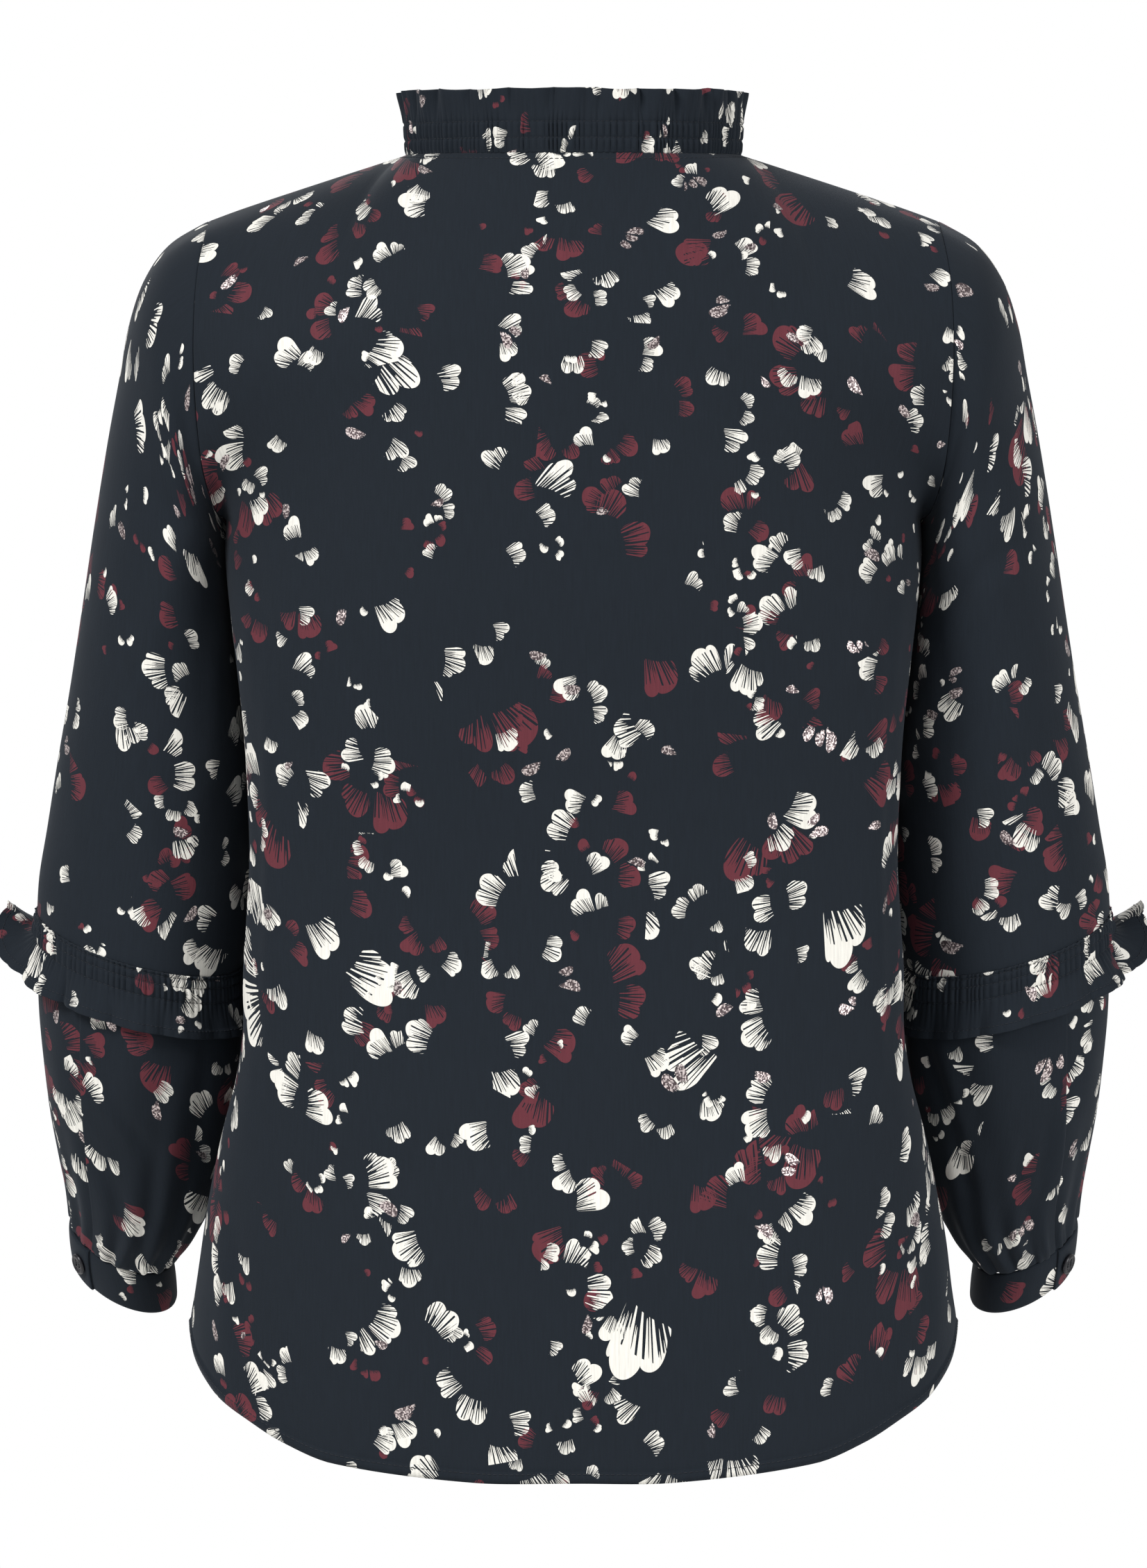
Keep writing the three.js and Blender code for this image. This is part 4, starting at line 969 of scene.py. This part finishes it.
def ruffle_points(angles, ride, seed):
    turned = (angles + 180) % 360 - 180
    lobe = np.exp(-(((turned + 22) / 17) ** 2))
    frill_long = RUFFLE["width"] - RUFFLE["strip"]
    lean_strip = np.radians(2 + 22 * lobe)
    lean_frill = np.arcsin(frill_stand(turned) / frill_long) + np.radians(88 * lobe)
    out = ring_out(UPPER_SLEEVE, ELBOW_ROW, angles, ELBOW_AXIS)
    a = np.radians(angles)
    grid = []
    for height in RUFFLE_HEIGHTS:
        frill = max(0, height - RUFFLE["strip"])
        strip = height - frill
        share = frill / frill_long
        tall = np.minimum(3.1, 0.42 * frill_stand(turned)) * (1 + 0.35 * wander(angles, seed))
        wave = tall * share**0.9 * cusped(RUFFLE["waves"] * a + 0.7 * wander(angles, seed + 4))
        wave += 0.16 * tall * share * cusped(41 * a + 2 * wander(angles, seed + 2))
        fine = pinch(height, RUFFLE_ROWS) * math.exp(-frill / 5.0)
        move = strip * np.sin(lean_strip) + frill * np.sin(lean_frill) + wave + RUFFLE["relief"] * ride * fine
        hem = smooth(-0.5, 0.5, height - (RUFFLE["width"] - FRILL_HEM))
        turned_edge = 0.3 * math.exp(-(((height - 35) / 0.8) ** 2))
        move += 0.35 * hem - turned_edge - 0.5 * math.exp(-((height / 0.7) ** 2))
        fall = strip * np.cos(lean_strip) + frill * np.cos(lean_frill)
        base = ring_point(UPPER_SLEEVE, ELBOW_ROW, angles + 1.6 * share * wander(angles, seed + 1))
        grid.append(base + ELBOW_AXIS * fall[:, None] + out * move[:, None])
    return np.array(grid)


for side, sign, seed in (("L", 1, 4), ("R", -1, 9)):
    angles, ride = uneven_gathers(RUFFLE["gathers"], 6, 50 + seed, 180)
    points = ruffle_points(angles, ride, seed)
    laid = lay_strip(len(angles), -RUFFLE_HEIGHTS, RUFFLE["flat"])
    normals = grid_normals(points, True, 1)
    rows = [np.interp(h, RUFFLE_HEIGHTS, np.arange(len(RUFFLE_HEIGHTS)))
            for h in (*RUFFLE_ROWS, RUFFLE["width"] - FRILL_HEM + 0.8)]
    lines = [line_on(points, normals, row) for row in rows]
    if side == "R":
        points = mirrored(points)
        lines = [(mirrored(line), mirrored(up)) for line, up in lines]
    name = f"sleeve_ruffle_{side}_cloth"
    piece = sew_shell(name, points, sign, laid, 0.9, around=True, origin=(700 * sign, 500))
    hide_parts(f"sleeve_ruffle_{side}")
    sew_stitches(f"stitches_ruffle_{side}", lines, length=1.9, gap=0.8, width=0.4)

# Lower sleeves: a wide tube each, sewn in under the elbow strip and gathered into the cuff. A
# faced placket runs up the outer back from the cuff's opening, its upper edge lapped over.

LOWER_SLEEVE = dict(
    ring=list(range(8)),
    outer_x=[309.5, 309, 306.5, 303, 298, 293.5, 291.5, 291.5],
    outer_z=[-466, -490, -518, -546, -572, -592, -604, -611],
    inner_x=[190.7, 192.6, 198.2, 203.4, 210.3, 219, 227, 232.5],
    inner_z=[-500, -528, -555, -580, -602, -618, -627, -633],
    y=[-34, -39, -46, -54, -61, -67, -71.5, -74.5],
    depth=[55, 54.5, 53, 50, 46, 42, 38, 35],
    dip=[18.5, 19, 20, 21, 23, 25, 27.5, 30],
)
TUCKED_ROWS = (0.34, 9, 18)
LAP = dict(angle=55, rise=2.0, drop=1.6, spread=12)
CUFF_GATHERS = (0, 0, 0, 0.5, 1.2, 1.9, 2, 1)
CUFF_ROW = 7


def smooth_rows(keys, at):
    """Rows between key rows, read along smooth curves through them."""
    k = np.clip(at.astype(int), 0, len(keys) - 2)
    u = (at - k)[:, None, None]
    before, start, end, after = (keys[np.clip(k + d, 0, len(keys) - 1)] for d in (-1, 0, 1, 2))
    return hermite(start, (end - before) / 2, end, (after - start) / 2, u)


def lap_fold(angle):
    off = (angle - LAP["angle"]) / LAP["spread"]
    high = LAP["rise"] * np.exp(-np.maximum(0, off) ** 2)
    low = -LAP["drop"] * np.exp(-np.minimum(0, off) ** 2)
    return low + (high - low) * smooth(-0.055, 0.055, off)


def lower_sleeve_keys(angles):
    turned = angles % 360
    elbow = ring_point(UPPER_SLEEVE, ELBOW_ROW, turned)
    elbow = elbow - ring_out(UPPER_SLEEVE, ELBOW_ROW, turned, ring_down(UPPER_SLEEVE, ELBOW_ROW)) * 2.035
    keys = [elbow + ELBOW_AXIS * down for down in TUCKED_ROWS]
    for row in range(8):
        out = ring_out(LOWER_SLEEVE, row, turned, ring_down(LOWER_SLEEVE, row))
        fold = lap_fold(turned) * min(1, (row + 1) / 3) * (0.3 if row == CUFF_ROW else 1)
        gather = 0.6 * CUFF_GATHERS[row] * np.cos(np.radians(16 * turned)) * (1 + 0.4 * wander(turned, 2))
        keys.append(ring_point(LOWER_SLEEVE, row, turned) + out * (fold + gather)[:, None])
    return np.array(keys)


lap_angles = LAP["angle"] + 360 + np.array([-2.6, -1.4, -0.75, -0.4, 0, 0.4, 0.75, 1.4, 2.6])
LOWER_ANGLES = 180 + np.linspace(0, 360, 193)
LOWER_ANGLES = np.sort(np.concatenate([LOWER_ANGLES[np.abs(LOWER_ANGLES - 415) > 3.2], lap_angles]))
LOWER_AT = np.concatenate([np.linspace(0, 9.2, 84), np.linspace(9.28, 9.94, 12), [9.97, 9.985, 10]])
LOWER_CREASES = dict(
    L=[
        ((270, -540), (243, -574), -1.9, 5), ((278, -536), (252, -566), 1.6, 6),
        ((211, -500), (218, -592), -1.5, 5), ((217, -560), (230, -628), -1.6, 5),
        ((226, -520), (236, -612), 1.5, 7), ((252, -500), (258, -560), 1.1, 10),
        ((280, -560), (262, -606), -1.3, 5), ((240, -560), (244, -618), -1.2, 5),
        ((300, -510), (296, -560), 0.9, 6),
    ],
    R=[
        ((200, -503), (221, -562), -1.9, 4.5), ((218, -552), (237, -624), -2.1, 4.5),
        ((209, -500), (232, -588), 1.7, 6), ((240, -500), (250, -570), 1.1, 11),
        ((262, -560), (250, -616), -1.4, 5), ((226, -588), (240, -632), 1.3, 5),
        ((276, -548), (268, -606), -1.6, 4.5), ((284, -540), (278, -600), 1.3, 5),
        ((300, -508), (298, -556), 0.9, 6),
    ],
)

FINE_GATHERS = 38

for side, sign, seed in (("L", 1, 71), ("R", -1, 84)):
    chance = np.random.default_rng(seed)
    points = smooth_rows(lower_sleeve_keys(LOWER_ANGLES), LOWER_AT)
    down = run_down(points)
    to_cuff = down[-1] - down
    edge = np.concatenate([[0], np.cumsum(chance.uniform(0.5, 1.5, FINE_GATHERS))])
    along = np.interp(LOWER_ANGLES, 180 + edge * 360 / FINE_GATHERS, np.arange(FINE_GATHERS + 1.0))
    which = np.minimum(along.astype(int), FINE_GATHERS - 1)
    reach = chance.uniform(7, 26, FINE_GATHERS)[which]
    tall = chance.uniform(0.3, 1.7, FINE_GATHERS)[which]
    lift = tall * np.abs(np.sin(np.pi * along)) ** 0.8 * np.exp(-((to_cuff / reach) ** 2))
    lift += one_side(points, LOWER_ANGLES, LOWER_CREASES[side], True)
    lift += one_side(points, LOWER_ANGLES, LOWER_CREASES["R" if side == "L" else "L"], False)
    lift += seam_dip(to_cuff)
    points = points + grid_normals(points, True, 1) * lift[..., None]
    laid = lay_out(points)
    points = points if side == "L" else mirrored(points)
    name = f"sleeve_lower_{side}_cloth"
    piece = sew_shell(name, points, sign, laid, around=True, origin=(500 * sign, -700))
    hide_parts(f"sleeve_lower_{side}")

# Cuffs: a doubled, interlined band each, left plain, its ends lapped at the outer back.

CUFF = dict(lap_edge=52, lap_share=27, shift=np.array([-2.5, -13.5, -23.0]), bulge=0.6, step=1.85)


def cuff_step(angle):
    lap = CUFF["lap_edge"] - CUFF["lap_share"]
    return CUFF["step"] * smooth(lap - 50, lap - 4, angle)


def cuff_points(angles, shares):
    down = unit(CUFF["shift"])
    out = ring_out(LOWER_SLEEVE, CUFF_ROW, angles, down)
    ring = ring_point(LOWER_SLEEVE, CUFF_ROW, angles)
    grid = []
    for share in shares:
        move = cuff_step(angles) + CUFF["bulge"] * math.sin(math.pi * share)
        grid.append(ring + CUFF["shift"] * share + out * move[:, None])
    return np.array(grid)


ends = np.array([0, 0.12, 0.3, 0.7, 1.5])
turn_round = 360.0 + CUFF["lap_share"]
CUFF_ANGLES = CUFF["lap_edge"] - np.concatenate(
    [ends, np.linspace(2.6, turn_round - 2.6, 130), turn_round - ends[::-1]]
)
CUFF_SHARES = np.concatenate(
    [[0, 0.01, 0.03, 0.07], np.linspace(0.12, 0.88, 12), [0.93, 0.965, 0.985, 0.995, 1]]
)

for side, sign in (("L", 1), ("R", -1)):
    points = cuff_points(CUFF_ANGLES, CUFF_SHARES)
    down = run_down(points)
    laid = lay_out(points)
    from_end = np.minimum(laid[0] - laid[0][:, :1], laid[0][:, -1:] - laid[0])
    lift = seam_dip(down) - 0.4 * np.exp(-(((down[-1] - down) / 0.7) ** 2))
    lift = lift - 0.4 * np.exp(-((from_end / 0.7) ** 2))
    lift += 0.25 * np.sin(laid[0] / 17 + 2 * sign) * np.sin(np.pi * CUFF_SHARES)[:, None]
    points = points + grid_normals(points, False, -1) * lift[..., None]
    points = points if side == "L" else mirrored(points)
    piece = sew_shell(f"cuff_{side}_cloth", points, -sign, laid, 1.3, origin=(300 * sign, -900))
    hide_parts(f"cuff_{side}")

# Buttons: one dark four-hole resin button on each cuff's upper lap, with a raised rim and a
# shallow dish, sewn on with navy thread. It stays done up.

BUTTON = dict(radius=6.2, height=2.4, turn=39, hole=0.9, offset=1.7, gap=0.35)
RIM = dict(
    reach=[0, 0.5, 1, 1.5, 2, 2.5, 3, 3.5, 3.9, 4.2, 4.5, 4.9, 5.3, 5.7, 6.0, 6.2, 6.2, 5.9, 5.2, 2.6, 0],
    rise=[1.62, 1.62, 1.63, 1.64, 1.65, 1.67, 1.7, 1.76, 1.88, 2.08, 2.28, 2.4, 2.36, 2.2, 1.85, 1.4, 0.9,
          0.35, 0.05, 0, 0],
)
RINGS, SPOKES = 81, 72
resin, tree = empty_material("dark button resin")
place_on = node(tree, "ShaderNodeUVMap", uv_map="cloth").outputs[0]
cloud = node(tree, "ShaderNodeTexNoise", {"Vector": place_on, "Scale": 260.0, "Detail": 3.0}).outputs[0]
clouded = ramp(tree, cloud, 0.3, 0.7)
cover = node(
    tree,
    "ShaderNodeBsdfPrincipled",
    {
        "Base Color": mix(tree, clouded, (0.006, 0.006, 0.009, 1), (0.014, 0.013, 0.018, 1)),
        "Roughness": calc(tree, "MULTIPLY_ADD", cloud, 0.2, 0.24),
    },
)
node(tree, "ShaderNodeOutputMaterial", {"Surface": cover.outputs[0]})

turned = np.array([float(BUTTON["turn"])])
out = ring_out(LOWER_SLEEVE, CUFF_ROW, turned, unit(CUFF["shift"]))[0]
centre = ring_point(LOWER_SLEEVE, CUFF_ROW, turned)[0] + CUFF["shift"] / 2
centre = centre + out * (cuff_step(turned)[0] + CUFF["bulge"] + 0.1)
right = unit(np.cross(CUFF["shift"], out))
upward = np.cross(out, right)
reach = np.interp(np.linspace(0, 20, RINGS), np.arange(21), RIM["reach"])
rise = np.interp(np.linspace(0, 20, RINGS), np.arange(21), RIM["rise"])
around = np.radians(np.linspace(0, 360, SPOKES + 1))
x, y = reach[:, None] * np.cos(around), reach[:, None] * np.sin(around)
level = np.repeat(rise[:, None], len(around), axis=1)
for across, along in ((1, 1), (-1, 1), (-1, -1), (1, -1)):
    off = np.hypot(x - across * BUTTON["offset"], y - along * BUTTON["offset"])
    level -= np.where(np.arange(RINGS)[:, None] < 40, 1.3 * (1 - smooth(0.72, 0.95, off)), 0)
dish = centre + x[..., None] * right + y[..., None] * upward + level[..., None] * out

for side, sign in (("L", 1), ("R", -1)):
    points = dish if side == "L" else mirrored(dish)
    i, j = np.mgrid[0 : RINGS - 1, 0:SPOKES]
    number = np.arange(RINGS * SPOKES).reshape(RINGS, SPOKES)
    number[0] = 0
    number[-1] = (RINGS - 1) * SPOKES
    following = (j + 1) % SPOKES
    quads = np.stack(
        [number[i, j], number[i + 1, j], number[i + 1, following], number[i, following]], axis=-1
    )
    faces, bakes, maps = [], [], []
    for row in range(RINGS - 1):
        for column in range(SPOKES):
            quad = quads[row, column]
            corners = [(column, row), (column, row + 1), (column + 1, row + 1), (column + 1, row)]
            keep = [0, 1, 2] if row == 0 else [0, 1, 3] if row == RINGS - 2 else [0, 1, 2, 3]
            keep = keep if sign > 0 else keep[::-1]
            faces.append([int(quad[k]) for k in keep])
            for k in keep:
                at = corners[k]
                bakes.append((at[0] / SPOKES, at[1] / (RINGS - 1)))
                maps.append((x[at[1], at[0]] / 1000, y[at[1], at[0]] / 1000))
    mesh = bpy.data.meshes.new(f"button_{side}_disc")
    mesh.from_pydata((points[:, :SPOKES].reshape(-1, 3) / 1000).tolist(), [], faces)
    for label, values in (("OFBake", bakes), ("cloth", maps)):
        mesh.uv_layers.new(name=label).data.foreach_set("uv", np.array(values, np.float32).ravel())
    mesh.materials.append(resin)
    mesh.polygons.foreach_set("use_smooth", np.ones(len(faces), bool))
    mesh.validate()
    mesh.update()
    button = bpy.data.objects.new(f"button_{side}_disc", mesh)
    bpy.context.collection.objects.link(button)
    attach(button, "root")
    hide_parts(f"button_{side}")
    lines = []
    for across in (-1.7, -1.95, -1.45, 1.45, 1.7, 1.95):
        along = np.linspace(-1.9, 1.9, 7)
        bow = 1.55 + 0.35 * (1 - (along / 1.9) ** 2)
        line = centre + across * right + along[:, None] * upward + bow[:, None] * out
        up = np.repeat(out[None], 7, axis=0)
        lines.append((line, up) if side == "L" else (mirrored(line), mirrored(up)))
    sew_stitches(f"button_thread_{side}", lines, length=3.6, gap=0.5, width=0.34)

# A pale studio floor, out of the picture, soft light from above and both sides, and the camera
# square behind the blouse as in the photograph.

floor_mesh = bpy.data.meshes.new("studio floor")
floor_mesh.from_pydata(
    [(-1.3, -1.3, -0.9), (1.3, -1.3, -0.9), (1.3, 1.3, -0.9), (-1.3, 1.3, -0.9)], [], [(0, 1, 2, 3)]
)
floor = bpy.data.objects.new("studio_floor", floor_mesh)
bpy.context.collection.objects.link(floor)
pale = bpy.data.materials.new("pale floor")
pale.use_nodes = True
pale.node_tree.nodes["Principled BSDF"].inputs["Base Color"].default_value = (0.8, 0.8, 0.79, 1)
pale.node_tree.nodes["Principled BSDF"].inputs["Roughness"].default_value = 0.8
floor_mesh.materials.append(pale)

# The studio's own light is soft and dim; the white backdrop behind the blouse is bright.
SOFT_LIGHT = 0.42
BACKDROP = 1.0
world = bpy.data.worlds.new("studio")
world.use_nodes = True
tree = world.node_tree
tree.nodes.clear()
seen = node(tree, "ShaderNodeLightPath").outputs["Is Camera Ray"]
glow = calc(tree, "MULTIPLY_ADD", seen, BACKDROP - SOFT_LIGHT, SOFT_LIGHT)
light = node(tree, "ShaderNodeBackground", {"Color": (1, 1, 1, 1), "Strength": glow})
node(tree, "ShaderNodeOutputWorld", {"Surface": light.outputs[0]})
bpy.context.scene.world = world
bpy.context.scene.view_settings.view_transform = "Standard"


def aim(thing, place, target):
    way = np.array(place, float) - np.array(target, float)
    thing.location = place
    thing.rotation_euler = (
        math.atan2(math.hypot(way[0], way[1]), way[2]), 0, math.atan2(way[1], way[0]) + math.pi / 2
    )
    bpy.context.collection.objects.link(thing)


for name, place, power, size in (
    ("key light", (2.6, 2.4, 1.9), 130, 1.2),
    ("fill light", (-2.6, 2.2, 0.2), 60, 1.4),
    ("front light", (0.6, -3.4, 1.6), 60, 1.8),
):
    lamp = bpy.data.lights.new(name, "AREA")
    lamp.energy = power
    lamp.size = size
    aim(bpy.data.objects.new(name, lamp), place, (0, 0, -0.36))

VIEW_HEIGHT = 0.904
DISTANCE = 12.0
lens = bpy.data.cameras.new("camera")
lens.sensor_fit = "VERTICAL"
lens.sensor_height = 36
lens.lens = 36 * DISTANCE / VIEW_HEIGHT
lens.clip_end = 40
camera = bpy.data.objects.new("camera", lens)
aim(camera, (0, DISTANCE, -0.359), (0, 0, -0.359))
bpy.context.scene.camera = camera
